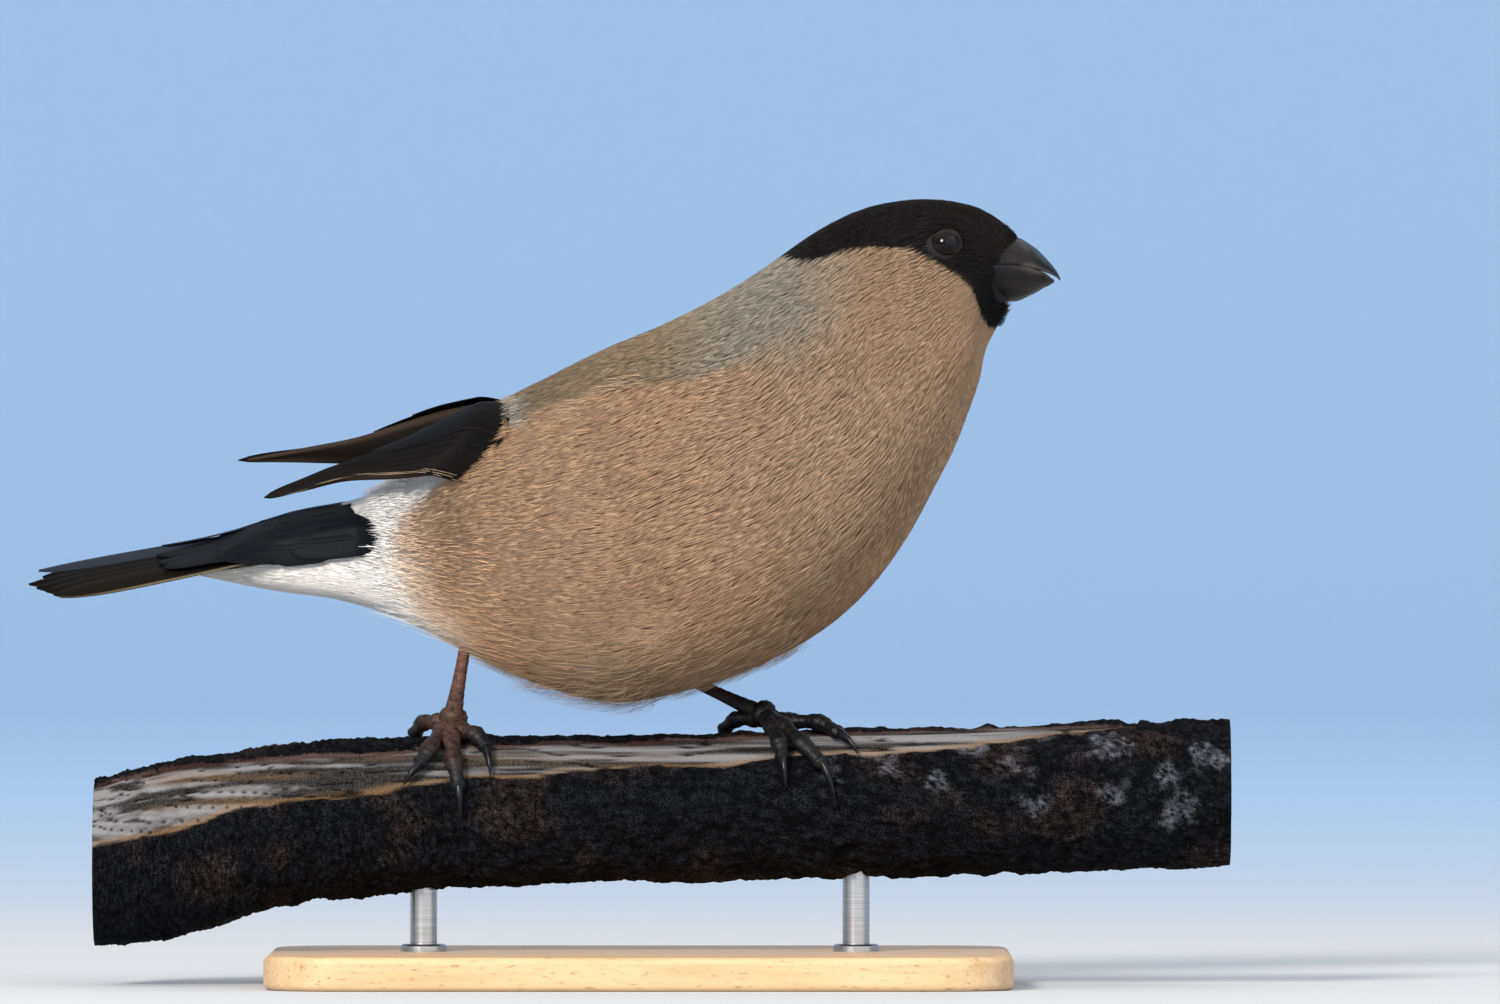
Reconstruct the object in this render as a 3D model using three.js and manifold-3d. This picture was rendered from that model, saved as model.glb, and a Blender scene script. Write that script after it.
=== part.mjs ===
// A female bullfinch at life size, perched along a cut length of branch on a plain stand.
// Millimetres, +Z up. The bird faces +X and its right side faces -Y. The origin is the middle
// of the underside of the stand's base.

import * as THREE from "three";
import Module from "manifold-3d";
import { mergeVertices } from "three/addons/utils/BufferGeometryUtils.js";
import { LoftGeometry } from "three/addons/geometries/LoftGeometry.js";

const wasm = await Module();
wasm.setup();

// Driving dimensions

const GAP = 0.3; // clearance between neighbouring solids
const WELD = 1e-4; // points closer than this are one
const DEGREE = Math.PI / 180;

// The body's sections from the bill to the tips of the tail coverts: where each one meets the
// line of the back and the line of the underside, as [x, z], and half its width.
const BODY = [
  { at: "bill base", top: [55.6, 111.3], bottom: [54.0, 99.6], halfWidth: 4.2 },
  { at: "lores", top: [53.2, 113.3], bottom: [53.3, 97.2], halfWidth: 5.7 },
  { at: "forehead", top: [49.6, 115.3], bottom: [51.8, 93.7], halfWidth: 9.3 },
  { at: "eye", top: [44.4, 116.3], bottom: [50.3, 89.5], halfWidth: 12.1 },
  { at: "crown", top: [38.5, 116.2], bottom: [48.5, 84.2], halfWidth: 13.9 },
  { at: "hind crown", top: [31.8, 114.6], bottom: [46.6, 79.3], halfWidth: 15.8 },
  { at: "nape", top: [25.2, 111.1], bottom: [43.7, 73.6], halfWidth: 18.2 },
  { at: "neck", top: [18.5, 106.4], bottom: [39.2, 65.4], halfWidth: 20.8 },
  { at: "shoulder", top: [11.1, 101.8], bottom: [33.3, 57.7], halfWidth: 23.2 },
  { at: "mantle", top: [3.0, 97.8], bottom: [25.9, 51.5], halfWidth: 24.9 },
  { at: "mid back", top: [-5.2, 94.4], bottom: [16.3, 46.5], halfWidth: 25.6 },
  { at: "low back", top: [-13.3, 90.4], bottom: [5.9, 43.1], halfWidth: 25.6 },
  { at: "hind belly", top: [-20.7, 86.6], bottom: [-4.4, 41.7], halfWidth: 24.0 },
  { at: "thigh", top: [-27.4, 81.6], bottom: [-16.3, 44.8], halfWidth: 20.2 },
  { at: "rump", top: [-34.0, 77.2], bottom: [-26.6, 49.6], halfWidth: 14.8 },
  { at: "vent", top: [-40.3, 73.8], bottom: [-35.8, 54.2], halfWidth: 10.6 },
  { at: "tail root", top: [-46.6, 71.9], bottom: [-45.1, 57.0], halfWidth: 8.4 },
  { at: "coverts", top: [-53.3, 70.2], bottom: [-54.0, 58.3], halfWidth: 6.8 },
  { at: "covert tips", top: [-64.6, 63.8], bottom: [-65.2, 60.6], halfWidth: 2.4 },
];
const PEAR = 0.12; // how much fuller every section is below its middle
const BODY_SIDES = 28;
const BODY_ROWS_PER_SECTION = 2;
const SLICE_GAP = 0.08; // between two body solids, as a part of the step between sections

const EYE_RADIUS = 2.9;
const EYE_SIDES = 16;
const EYE_ROWS = 10;
const EYE = [45.1, 8.2, 109.5]; // centre of the left eye

// The bill's sections: the height of the flat side that faces the other half, how deep the
// horn is from there, and half the width.
const BILL_UPPER = [
  { x: 53.2, edge: 106.4, deep: 3.9, halfWidth: 4.3 },
  { x: 54.8, edge: 106.45, deep: 4.2, halfWidth: 4.4 },
  { x: 56.2, edge: 106.45, deep: 4.0, halfWidth: 4.15 },
  { x: 58.5, edge: 106.05, deep: 3.0, halfWidth: 3.35 },
  { x: 60.4, edge: 105.45, deep: 1.7, halfWidth: 2.1 },
  { x: 61.6, edge: 104.85, deep: 0.9, halfWidth: 1.0 },
  { x: 62.2, edge: 104.3, deep: 0.4, halfWidth: 0.3 },
];
const BILL_LOWER = [
  { x: 51.9, edge: 106.1, deep: 4.0, halfWidth: 4.9 },
  { x: 54.0, edge: 106.1, deep: 5.3, halfWidth: 4.9 },
  { x: 55.5, edge: 106.05, deep: 5.3, halfWidth: 4.5 },
  { x: 58.0, edge: 105.6, deep: 3.8, halfWidth: 3.45 },
  { x: 59.9, edge: 104.95, deep: 2.0, halfWidth: 2.1 },
  { x: 61.3, edge: 104.3, deep: 0.3, halfWidth: 0.4 },
];
const BILL_SIDES = 12;

// Each folded wing's sections from the shoulder feathers to the tip: its lower and its upper
// edge as [x, distance from the bird's middle, z], its thickness, and how far it bows out.
const WING_RIGHT = [
  { lower: [-15.5, 21.5, 77.0], upper: [-15.5, 5.5, 89.6], thick: 2.2, bow: 3.4 },
  { lower: [-21.0, 19.7, 75.8], upper: [-21.5, 5.0, 87.2], thick: 2.2, bow: 2.8 },
  { lower: [-27.4, 16.6, 75.0], upper: [-28.1, 3.8, 84.5], thick: 2.0, bow: 2.0 },
  { lower: [-35.5, 12.8, 74.4], upper: [-35.5, 3.5, 81.0], thick: 1.7, bow: 1.3 },
  { lower: [-43.7, 10.2, 74.2], upper: [-43.7, 5.2, 76.8], thick: 1.3, bow: 0.8 },
  { lower: [-50.3, 8.0, 72.7], upper: [-50.3, 6.0, 74.0], thick: 1.0, bow: 0.4 },
  { lower: [-55.2, 6.8, 71.7], upper: [-55.2, 6.3, 72.3], thick: 0.6, bow: 0.1 },
];
const WING_LEFT = [
  { lower: [-15.5, 21.5, 78.2], upper: [-15.5, 5.0, 90.2], thick: 2.2, bow: 3.2 },
  { lower: [-21.0, 19.7, 77.2], upper: [-21.5, 4.5, 88.2], thick: 2.2, bow: 2.6 },
  { lower: [-27.4, 16.4, 76.2], upper: [-29.6, 2.6, 86.0], thick: 2.0, bow: 1.9 },
  { lower: [-35.5, 13.0, 76.4], upper: [-36.3, 2.4, 83.6], thick: 1.7, bow: 1.3 },
  { lower: [-43.7, 10.2, 76.8], upper: [-42.2, 3.6, 81.0], thick: 1.3, bow: 0.8 },
  { lower: [-50.3, 8.0, 77.0], upper: [-50.3, 5.4, 79.5], thick: 1.0, bow: 0.4 },
  { lower: [-59.2, 6.6, 77.2], upper: [-59.2, 6.1, 77.8], thick: 0.6, bow: 0.1 },
];
const WING_EDGE_THICKNESS = 0.35; // at either edge, as a part of the thickness in the middle
const WING_ROWS_PER_SECTION = 2;
const WING_COLUMNS = 5;

// The tail is a low roof of twelve feathers, six on each side of its ridge.
const TAIL_ROOT = { x: -42.0, ridge: 69.7, halfWidth: 5.2, thick: 1.8 };
const TAIL_TIP = { x: -88.9, ridge: 61.8, halfWidth: 11.0, thick: 0.6 };
const TAIL_SPREAD = 0.7; // below 1 widens the tail early
const TAIL_SLOPE = 0.43; // how far the roof drops for each millimetre outwards
const TAIL_FEATHERS = 6;
const TAIL_COLUMNS_PER_FEATHER = 2;
const TAIL_ROWS = 7;
const TAIL_NOTCH = 1.1; // how far the feathers beside the middle pair reach past it
const TAIL_STEP_IN = 2.6; // how far the outermost feather falls short
const TAIL_TIP_ROUND = 1.0;
const TAIL_NOTCH_PLACE = 1.1; // above 1 puts the longest feathers nearer the middle pair

// The branch's sections: the middle of each one and its radius.
const PERCH = [
  { x: -80.7, z: 18.1, radius: 12.4 },
  { x: -68.0, z: 20.3, radius: 13.3 },
  { x: -50.0, z: 23.9, radius: 11.8 },
  { x: -28.0, z: 25.5, radius: 11.5 },
  { x: 9.0, z: 26.4, radius: 10.9 },
  { x: 53.0, z: 27.5, radius: 11.0 },
  { x: 87.3, z: 28.4, radius: 11.0 },
];
const PERCH_SIDES = 24;
const PERCH_ROWS_PER_SECTION = 3;
const PERCH_STOPS_PER_SECTION = 40; // for reading its height and radius at an x

// The feet grip the branch. A point on a foot is [distance along the branch from the foot's
// middle, degrees round the branch from its top towards the right, height above the bark].
const FEET = {
  right: {
    x: -27.8,
    middle: [0, 4, 2.3],
    ankle: [-24.6, -5.5, 57.0],
    toes: {
      hallux: { path: [[-2.2, 0, 1.9], [-4.2, -9, 2.0], [-5.8, -26, 1.2]], claw: [-6.4, -48, 0.5] },
      inner: { path: [[1.5, 20, 1.4], [3.6, 30, 1.8], [5.3, 42, 1.1]], claw: [5.8, 64, 0.5] },
      middle: { path: [[0, 30, 1.4], [0.5, 54, 1.3], [1.2, 74, 1.1]], claw: [1.5, 94, 0.5] },
      outer: { path: [[-1.2, 18, 1.4], [-3.2, 42, 1.4], [-4.8, 55, 1.1]], claw: [-7.0, 68, 0.5] },
    },
  },
  left: {
    x: 18.5,
    middle: [0, -2, 2.4],
    ankle: [2.4, 5.5, 47.4],
    toes: {
      hallux: { path: [[-1.6, -5, 1.9], [-4.2, -10, 2.0], [-6.3, -26, 1.2]], claw: [-7.0, -48, 0.5] },
      inner: { path: [[1.2, 22, 1.4], [2.2, 42, 1.4], [2.7, 56, 1.1]], claw: [3.1, 76, 0.5] },
      middle: { path: [[2.6, 20, 1.5], [5.4, 42, 1.4], [8.8, 62, 1.1]], claw: [10.4, 86, 0.5] },
      outer: { path: [[3.7, 4, 1.4], [8.0, 14, 1.5], [11.2, 32, 1.1]], claw: [13.7, 50, 0.5] },
    },
  },
};
const TOE_HALF_WIDTH = { root: 1.2, end: 0.9 };
const TOE_HALF_HEIGHT = { root: 1.1, end: 0.85 };
const TOE_SIDES = 8;
const TOE_ROWS = 7;
const FOOT_PAD_RADIUS = 1.8;
const FOOT_PAD_SIDES = 12;
const FOOT_PAD_ROWS = 8;
const CLAW_ROOT = 0.7; // half the thickness where it leaves the toe
const CLAW_TIP = 0.15;
const CLAW_ARCH = 0.8; // how far a claw's middle stands off the straight line to its tip
const CLAW_SIDES = 6;
const CLAW_ROWS = 5;
const TARSUS_HALF_DEPTH = 0.9;
const TARSUS_HALF_WIDTH = 0.8;
const TARSUS_FLARE = 0.7; // how much thicker it is where it meets the foot
const TARSUS_FLARE_POWER = 5;
const TARSUS_SIDES = 10;
const TARSUS_ROWS = 8;

const STAND_LENGTH = 110;
const STAND_WIDTH = 84;
const STAND_THICKNESS = 5;
const STAND_CORNER = 12;
const ROD_X = 32; // each rod's distance from the middle
const ROD_RADIUS = 2;
const ROD_SIDES = 20;
const ROD_IN_BASE = 3;
const ROD_IN_PERCH = 5;

// Solids from geometries and back

function toSolid(geometry) {
  const plain = new THREE.BufferGeometry().copy(geometry);
  plain.deleteAttribute("normal");
  plain.deleteAttribute("uv");
  const merged = mergeVertices(plain, WELD);
  const corners = merged.index.array;
  const kept = [];
  for (let i = 0; i < corners.length; i += 3) {
    const [a, b, c] = [corners[i], corners[i + 1], corners[i + 2]];
    if (a !== b && b !== c && c !== a) kept.push(a, b, c);
  }
  const vertProperties = new Float32Array(merged.attributes.position.array);
  const triVerts = new Uint32Array(kept);
  return new wasm.Manifold(new wasm.Mesh({ numProp: 3, vertProperties, triVerts }));
}

function toGeometry(solid) {
  const { vertProperties, triVerts } = solid.getMesh();
  const geometry = new THREE.BufferGeometry();
  geometry.setAttribute("position", new THREE.BufferAttribute(vertProperties, 3));
  geometry.setIndex(new THREE.BufferAttribute(triVerts, 1));
  geometry.computeVertexNormals();
  return geometry;
}

function loft(rings) {
  return toSolid(new LoftGeometry(rings, { capStart: true, capEnd: true }));
}

// The piece of a cut solid that holds nearly all of it, without the crumbs of the cut.
function mainPiece(solid) {
  const pieces = solid.decompose();
  return pieces.reduce((best, piece) => (piece.volume() > best.volume() ? piece : best));
}

function mix(from, to, t) {
  return from + (to - from) * t;
}

// A smooth line through points given as [x, y, z].
function lineThrough(points) {
  const stops = points.map((point) => new THREE.Vector3(...point));
  return new THREE.CatmullRomCurve3(stops, false, "catmullrom", 0.5);
}

// One value read smoothly out of a list of sections, at a place t from 0 to 1 along it.
function between(sections, read, t) {
  const values = sections.map((section, i) => [i, 0, read(section)]);
  return lineThrough(values).getPoint(t).z;
}

// A ring of points round a middle, from "up" towards "across".
function ringOf(middle, across, up, sides) {
  return Array.from({ length: sides }, (_, i) => {
    const turn = (i / sides) * 2 * Math.PI;
    return middle.clone().addScaledVector(across, Math.sin(turn)).addScaledVector(up, Math.cos(turn));
  });
}

// A tapering limb along a line. outward(point) is the way its upper side faces, and high(t)
// and wide(t) are its half sizes at each place t along it.
function limb(line, outward, high, wide, sides, rows) {
  const rings = Array.from({ length: rows + 1 }, (_, i) => {
    const t = i / rows;
    const middle = line.getPoint(t);
    const along = line.getTangent(t);
    const across = new THREE.Vector3().crossVectors(along, outward(middle)).normalize();
    const up = new THREE.Vector3().crossVectors(across, along).normalize();
    return ringOf(middle, across.multiplyScalar(wide(t)), up.multiplyScalar(high(t)), sides);
  });
  return loft(rings);
}

// Body

const backLine = lineThrough(BODY.map(({ top, halfWidth }) => [top[0], halfWidth, top[1]]));
const bellyLine = lineThrough(BODY.map(({ bottom }) => [bottom[0], 0, bottom[1]]));

// The ring of the body's outline at a place counted in sections from the bill base.
function bodyRing(place) {
  const t = place / (BODY.length - 1);
  const top = backLine.getPoint(t);
  const bottom = bellyLine.getPoint(t);
  const halfWidth = top.y;
  top.y = 0;
  const middle = top.clone().add(bottom).multiplyScalar(0.5);
  const up = top.clone().sub(middle);
  return Array.from({ length: BODY_SIDES }, (_, i) => {
    const turn = (i / BODY_SIDES) * 2 * Math.PI;
    const point = middle.clone().addScaledVector(up, Math.cos(turn));
    point.y = halfWidth * Math.sin(turn) * (1 - PEAR * Math.cos(turn));
    return point;
  });
}

function bodySlice(from, to) {
  const rows = Math.round((to - from) * BODY_ROWS_PER_SECTION);
  const rings = Array.from({ length: rows + 1 }, (_, i) => bodyRing(from + ((to - from) * i) / rows));
  return loft(rings);
}

function sectionNumber(name) {
  return BODY.findIndex(({ at }) => at === name);
}

// Eyes and bill

function eye(side, grow) {
  const ball = new THREE.SphereGeometry(EYE_RADIUS + grow, EYE_SIDES, EYE_ROWS);
  ball.translate(EYE[0], side * EYE[1], EYE[2]);
  return toSolid(ball);
}

// deepSide is 1 for the upper half of the bill and -1 for the lower one.
function mandible(sections, deepSide, grow) {
  const last = sections.length - 1;
  const rings = sections.map(({ x, edge, deep, halfWidth }, i) => {
    const reach = i === 0 ? -grow : i === last ? grow : 0;
    return Array.from({ length: BILL_SIDES }, (_, j) => {
      const turn = (-j / BILL_SIDES) * 2 * Math.PI;
      const rise = deepSide * Math.cos(turn);
      const height = rise > 0.01 ? rise * (deep + grow) : -grow;
      return new THREE.Vector3(x + reach, (halfWidth + grow) * Math.sin(turn), edge + deepSide * height);
    });
  });
  return loft(rings);
}

// Wings and tail

function wing(sections, side, grow) {
  const last = (sections.length - 1) * WING_ROWS_PER_SECTION;
  const lowerLine = lineThrough(sections.map(({ lower }) => lower));
  const upperLine = lineThrough(sections.map(({ upper }) => upper));
  const rings = Array.from({ length: last + 1 }, (_, row) => {
    const t = row / last;
    const low = lowerLine.getPoint(t);
    const high = upperLine.getPoint(t);
    low.y *= side;
    high.y *= side;
    const halfThick = between(sections, ({ thick }) => thick, t) / 2 + grow;
    const bow = between(sections, ({ bow: bowOut }) => bowOut, t);
    const chord = high.clone().sub(low);
    const out = new THREE.Vector3(1, 0, 0).cross(chord).normalize().multiplyScalar(-side);
    const rim = chord.clone().normalize().multiplyScalar(grow);
    const endways = row === 0 ? grow : row === last ? -grow : 0;
    low.sub(rim);
    chord.addScaledVector(rim, 2);
    const face = (facing) =>
      Array.from({ length: WING_COLUMNS + 1 }, (_, column) => {
        const c = column / WING_COLUMNS;
        const hump = Math.sin(Math.PI * c);
        const lift = bow * hump + facing * halfThick * mix(WING_EDGE_THICKNESS, 1, hump);
        const point = low.clone().addScaledVector(chord, c).addScaledVector(out, lift);
        point.x += endways;
        return point;
      });
    const ring = [...face(1), ...face(-1).reverse()];
    return side > 0 ? ring.reverse() : ring;
  });
  return loft(rings);
}

// How far past the ridge's end the tail reaches at v, from 0 at the ridge to 1 at its edge.
function tailReach(v) {
  const place = (v * TAIL_FEATHERS) % 1;
  const atEdge = v === 1 ? 1 : Math.abs(2 * place - 1);
  const notch = TAIL_NOTCH * Math.sin(TAIL_NOTCH_PLACE * Math.PI * v);
  return notch - TAIL_STEP_IN * v ** 4 - TAIL_TIP_ROUND * atEdge ** 2;
}

function tail(grow) {
  const columns = TAIL_FEATHERS * TAIL_COLUMNS_PER_FEATHER;
  const rings = Array.from({ length: TAIL_ROWS + 1 }, (_, row) => {
    const t = row / TAIL_ROWS;
    const halfWidth = mix(TAIL_ROOT.halfWidth, TAIL_TIP.halfWidth, t ** TAIL_SPREAD) + grow;
    const thick = mix(TAIL_ROOT.thick, TAIL_TIP.thick, t);
    const ridge = mix(TAIL_ROOT.ridge, TAIL_TIP.ridge, t) + grow;
    const x = mix(TAIL_ROOT.x, TAIL_TIP.x, t) + (row === 0 ? grow : 0);
    const point = (column, drop) => {
      const v = column / columns;
      const y = v * halfWidth;
      const reach = t * tailReach(Math.abs(v));
      return new THREE.Vector3(x - reach, y, ridge - TAIL_SLOPE * Math.abs(y) - drop);
    };
    const across = Array.from({ length: 2 * columns + 1 }, (_, i) => i - columns);
    const above = across.map((column) => point(column, 0));
    const below = across.map((column) => point(column, thick + 2 * grow));
    return [...above, ...below.reverse()];
  });
  return loft(rings);
}

// Branch, feet and stand

const perchLine = lineThrough(PERCH.map(({ x, z, radius }) => [x, radius, z]));

// The branch's middle height and radius at x.
function perchAt(x) {
  const steps = (PERCH.length - 1) * PERCH_STOPS_PER_SECTION;
  const stops = Array.from({ length: steps + 1 }, (_, i) => perchLine.getPoint(i / steps));
  const stop = stops.reduce((best, other) => (Math.abs(other.x - x) < Math.abs(best.x - x) ? other : best));
  return { z: stop.z, radius: stop.y };
}

function perch() {
  const rows = (PERCH.length - 1) * PERCH_ROWS_PER_SECTION;
  const rings = Array.from({ length: rows + 1 }, (_, i) => {
    const stop = perchLine.getPoint(i / rows);
    const middle = new THREE.Vector3(stop.x, 0, stop.z);
    const across = new THREE.Vector3(0, -stop.y, 0);
    return ringOf(middle, across, new THREE.Vector3(0, 0, stop.y), PERCH_SIDES);
  });
  return loft(rings);
}

// A point of a foot, given as FEET gives it, in the part's frame.
function onPerch(foot, [along, degrees, above]) {
  const x = foot.x + along;
  const { z, radius } = perchAt(x);
  const turn = degrees * DEGREE;
  const reach = radius + above;
  return new THREE.Vector3(x, -reach * Math.sin(turn), z + reach * Math.cos(turn));
}

function fromPerch(point) {
  return new THREE.Vector3(0, point.y, point.z - perchAt(point.x).z);
}

function toeLine(foot, { path }) {
  return lineThrough([foot.middle, ...path].map((stop) => onPerch(foot, stop).toArray()));
}

function footSolid(foot) {
  const middle = onPerch(foot, foot.middle);
  const pad = new THREE.SphereGeometry(FOOT_PAD_RADIUS, FOOT_PAD_SIDES, FOOT_PAD_ROWS);
  pad.translate(...middle.toArray());
  const high = (t) => mix(TOE_HALF_HEIGHT.root, TOE_HALF_HEIGHT.end, t);
  const wide = (t) => mix(TOE_HALF_WIDTH.root, TOE_HALF_WIDTH.end, t);
  return Object.values(foot.toes).reduce((solid, toe) => {
    const line = toeLine(foot, toe);
    return solid.add(limb(line, fromPerch, high, wide, TOE_SIDES, TOE_ROWS));
  }, toSolid(pad));
}

function claw(foot, toe) {
  const end = toeLine(foot, toe).getPoint(1);
  const ahead = toeLine(foot, toe).getTangent(1);
  const start = end.clone().addScaledVector(ahead, 2 * GAP);
  const tip = onPerch(foot, toe.claw);
  const arch = fromPerch(start).normalize().multiplyScalar(CLAW_ARCH);
  const middle = start.clone().lerp(tip, 0.5).add(arch);
  const line = new THREE.QuadraticBezierCurve3(start, middle, tip);
  const thick = (t) => mix(CLAW_ROOT, CLAW_TIP, t);
  return limb(line, fromPerch, thick, thick, CLAW_SIDES, CLAW_ROWS);
}

// The shank from the hidden ankle down to just above the foot.
function tarsus(foot, grow) {
  const ankle = new THREE.Vector3(...foot.ankle);
  const middle = onPerch(foot, foot.middle);
  const down = middle.clone().sub(ankle).normalize();
  const end = middle.clone().addScaledVector(down, grow - FOOT_PAD_RADIUS - GAP);
  const start = ankle.clone().addScaledVector(down, -grow);
  const line = new THREE.LineCurve3(start, end);
  const flare = (t) => 1 + TARSUS_FLARE * t ** TARSUS_FLARE_POWER;
  const high = (t) => TARSUS_HALF_DEPTH * flare(t) + grow;
  const wide = (t) => TARSUS_HALF_WIDTH * flare(t) + grow;
  const forward = () => new THREE.Vector3(1, 0, 0);
  return limb(line, forward, high, wide, TARSUS_SIDES, TARSUS_ROWS);
}

function standBase() {
  const [a, b, r] = [STAND_LENGTH / 2, STAND_WIDTH / 2, STAND_CORNER];
  const outline = new THREE.Shape();
  outline.moveTo(a - r, -b);
  outline.absarc(a - r, r - b, r, -Math.PI / 2, 0);
  outline.absarc(a - r, b - r, r, 0, Math.PI / 2);
  outline.absarc(r - a, b - r, r, Math.PI / 2, Math.PI);
  outline.absarc(r - a, r - b, r, Math.PI, 1.5 * Math.PI);
  const options = { depth: STAND_THICKNESS, bevelEnabled: false, curveSegments: 8 };
  return toSolid(new THREE.ExtrudeGeometry(outline, options));
}

function rod(x, grow) {
  const bottom = STAND_THICKNESS - ROD_IN_BASE - grow;
  const { z, radius } = perchAt(x);
  const top = z - radius + ROD_IN_PERCH + grow;
  const geometry = new THREE.CylinderGeometry(ROD_RADIUS + grow, ROD_RADIUS + grow, top - bottom, ROD_SIDES);
  geometry.rotateX(Math.PI / 2);
  geometry.translate(x, 0, (top + bottom) / 2);
  return toSolid(geometry);
}

// Assembly

const materials = {
  cap: new THREE.MeshStandardMaterial({ color: "#201d1e", roughness: 0.85 }),
  mantle: new THREE.MeshStandardMaterial({ color: "#948573", roughness: 0.9 }),
  breast: new THREE.MeshStandardMaterial({ color: "#a5805f", roughness: 0.9 }),
  rump: new THREE.MeshStandardMaterial({ color: "#efe9df", roughness: 0.9 }),
  flight: new THREE.MeshStandardMaterial({ color: "#29282b", roughness: 0.6 }),
  tail: new THREE.MeshStandardMaterial({ color: "#2e353d", roughness: 0.5 }),
  bill: new THREE.MeshStandardMaterial({ color: "#3a3733", roughness: 0.45 }),
  eye: new THREE.MeshStandardMaterial({ color: "#120d0a", roughness: 0.1 }),
  leg: new THREE.MeshStandardMaterial({ color: "#4a3d38", roughness: 0.6 }),
  claw: new THREE.MeshStandardMaterial({ color: "#2a2624", roughness: 0.4 }),
  bark: new THREE.MeshStandardMaterial({ color: "#3a3733", roughness: 0.95 }),
  standWood: new THREE.MeshStandardMaterial({ color: "#b9966b", roughness: 0.6 }),
  standMetal: new THREE.MeshStandardMaterial({ color: "#9a9a98", roughness: 0.35, metalness: 1 }),
};

const bird = new THREE.Group();

function addNode(name, solid, material) {
  const mesh = new THREE.Mesh(toGeometry(solid), material);
  mesh.name = name;
  bird.add(mesh);
}

const headPockets = [
  eye(1, GAP),
  eye(-1, GAP),
  mandible(BILL_UPPER, 1, GAP),
  mandible(BILL_LOWER, -1, GAP),
];
const rearPockets = [
  wing(WING_RIGHT, -1, GAP),
  wing(WING_LEFT, 1, GAP),
  tail(GAP),
  tarsus(FEET.right, GAP),
  tarsus(FEET.left, GAP),
];
const bodyNodes = [
  { name: "head", from: "bill base", to: "hind crown", pockets: headPockets, material: materials.cap },
  { name: "neck", from: "hind crown", to: "shoulder", pockets: [], material: materials.breast },
  { name: "trunk", from: "shoulder", to: "rump", pockets: rearPockets, material: materials.breast },
  { name: "rump", from: "rump", to: "covert tips", pockets: rearPockets, material: materials.rump },
];
for (const { name, from, to, pockets, material } of bodyNodes) {
  const start = sectionNumber(from) + (from === "bill base" ? 0 : SLICE_GAP / 2);
  const end = sectionNumber(to) - (to === "covert tips" ? 0 : SLICE_GAP / 2);
  const solid = pockets.reduce((rest, pocket) => rest.subtract(pocket), bodySlice(start, end));
  addNode(name, mainPiece(solid), material);
}

addNode("eye_right", eye(-1, 0), materials.eye);
addNode("eye_left", eye(1, 0), materials.eye);
addNode("bill_upper", mandible(BILL_UPPER, 1, 0), materials.bill);
addNode("bill_lower", mandible(BILL_LOWER, -1, 0), materials.bill);
addNode("wing_right", wing(WING_RIGHT, -1, 0), materials.flight);
addNode("wing_left", wing(WING_LEFT, 1, 0), materials.flight);
addNode("tail", tail(0), materials.tail);

for (const [side, foot] of Object.entries(FEET)) {
  addNode(`tarsus_${side}`, tarsus(foot, 0), materials.leg);
  addNode(`foot_${side}`, mainPiece(footSolid(foot).subtract(tarsus(foot, GAP))), materials.leg);
  for (const [name, toe] of Object.entries(foot.toes)) {
    addNode(`claw_${side}_${name}`, claw(foot, toe), materials.claw);
  }
}

const rodPlaces = { rear: -ROD_X, front: ROD_X };
const sockets = Object.values(rodPlaces).map((x) => rod(x, GAP));
const withSockets = (solid) => sockets.reduce((rest, socket) => rest.subtract(socket), solid);
addNode("perch", withSockets(perch()), materials.bark);
addNode("stand_base", withSockets(standBase()), materials.standWood);
for (const [name, x] of Object.entries(rodPlaces)) {
  addNode(`stand_rod_${name}`, rod(x, 0), materials.standMetal);
}

export default bird;
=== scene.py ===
import math
import bpy
import mathutils
import numpy as np
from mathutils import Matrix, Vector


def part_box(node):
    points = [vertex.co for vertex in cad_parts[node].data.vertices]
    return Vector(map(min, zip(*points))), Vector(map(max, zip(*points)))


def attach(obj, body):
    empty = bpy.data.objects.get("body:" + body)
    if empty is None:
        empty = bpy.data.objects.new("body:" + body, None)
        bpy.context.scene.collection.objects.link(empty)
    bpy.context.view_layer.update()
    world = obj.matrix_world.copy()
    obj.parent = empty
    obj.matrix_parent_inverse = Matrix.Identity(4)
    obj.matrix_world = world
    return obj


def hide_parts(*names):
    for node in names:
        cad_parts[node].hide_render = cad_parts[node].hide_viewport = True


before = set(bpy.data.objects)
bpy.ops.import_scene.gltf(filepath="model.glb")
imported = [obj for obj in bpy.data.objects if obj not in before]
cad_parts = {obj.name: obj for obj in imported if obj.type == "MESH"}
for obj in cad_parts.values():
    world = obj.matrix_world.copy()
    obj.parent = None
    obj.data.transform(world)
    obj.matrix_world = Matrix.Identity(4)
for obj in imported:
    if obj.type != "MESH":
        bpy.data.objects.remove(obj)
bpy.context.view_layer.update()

# The studio
# A pale seamless sweep under a bright sky, one large soft light above the camera's left
# shoulder, and a long lens level with the bird, square to its right side.

MM = 0.001
PHOTO_SIZE = (1500, 1004)
PHOTO_SCALE = 0.148  # millimetres of the bird for one pixel across
LENS_MIDDLE = (16.3, 71.5)  # x and z of what the middle of the picture shows
CAMERA_DISTANCE = 3000  # millimetres, like every length below unless it says otherwise
FILM_WIDTH = 36


def linear(hex_colour):
    """An sRGB hex colour as linear red, green, blue and alpha."""
    parts = np.array([int(hex_colour[i:i + 2], 16) / 255 for i in (1, 3, 5)])
    return (*np.where(parts <= 0.04045, parts / 12.92, ((parts + 0.055) / 1.055) ** 2.4), 1.0)


def tone(hex_colour):
    """The same as three numbers in an array."""
    return np.array(linear(hex_colour)[:3])


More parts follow.
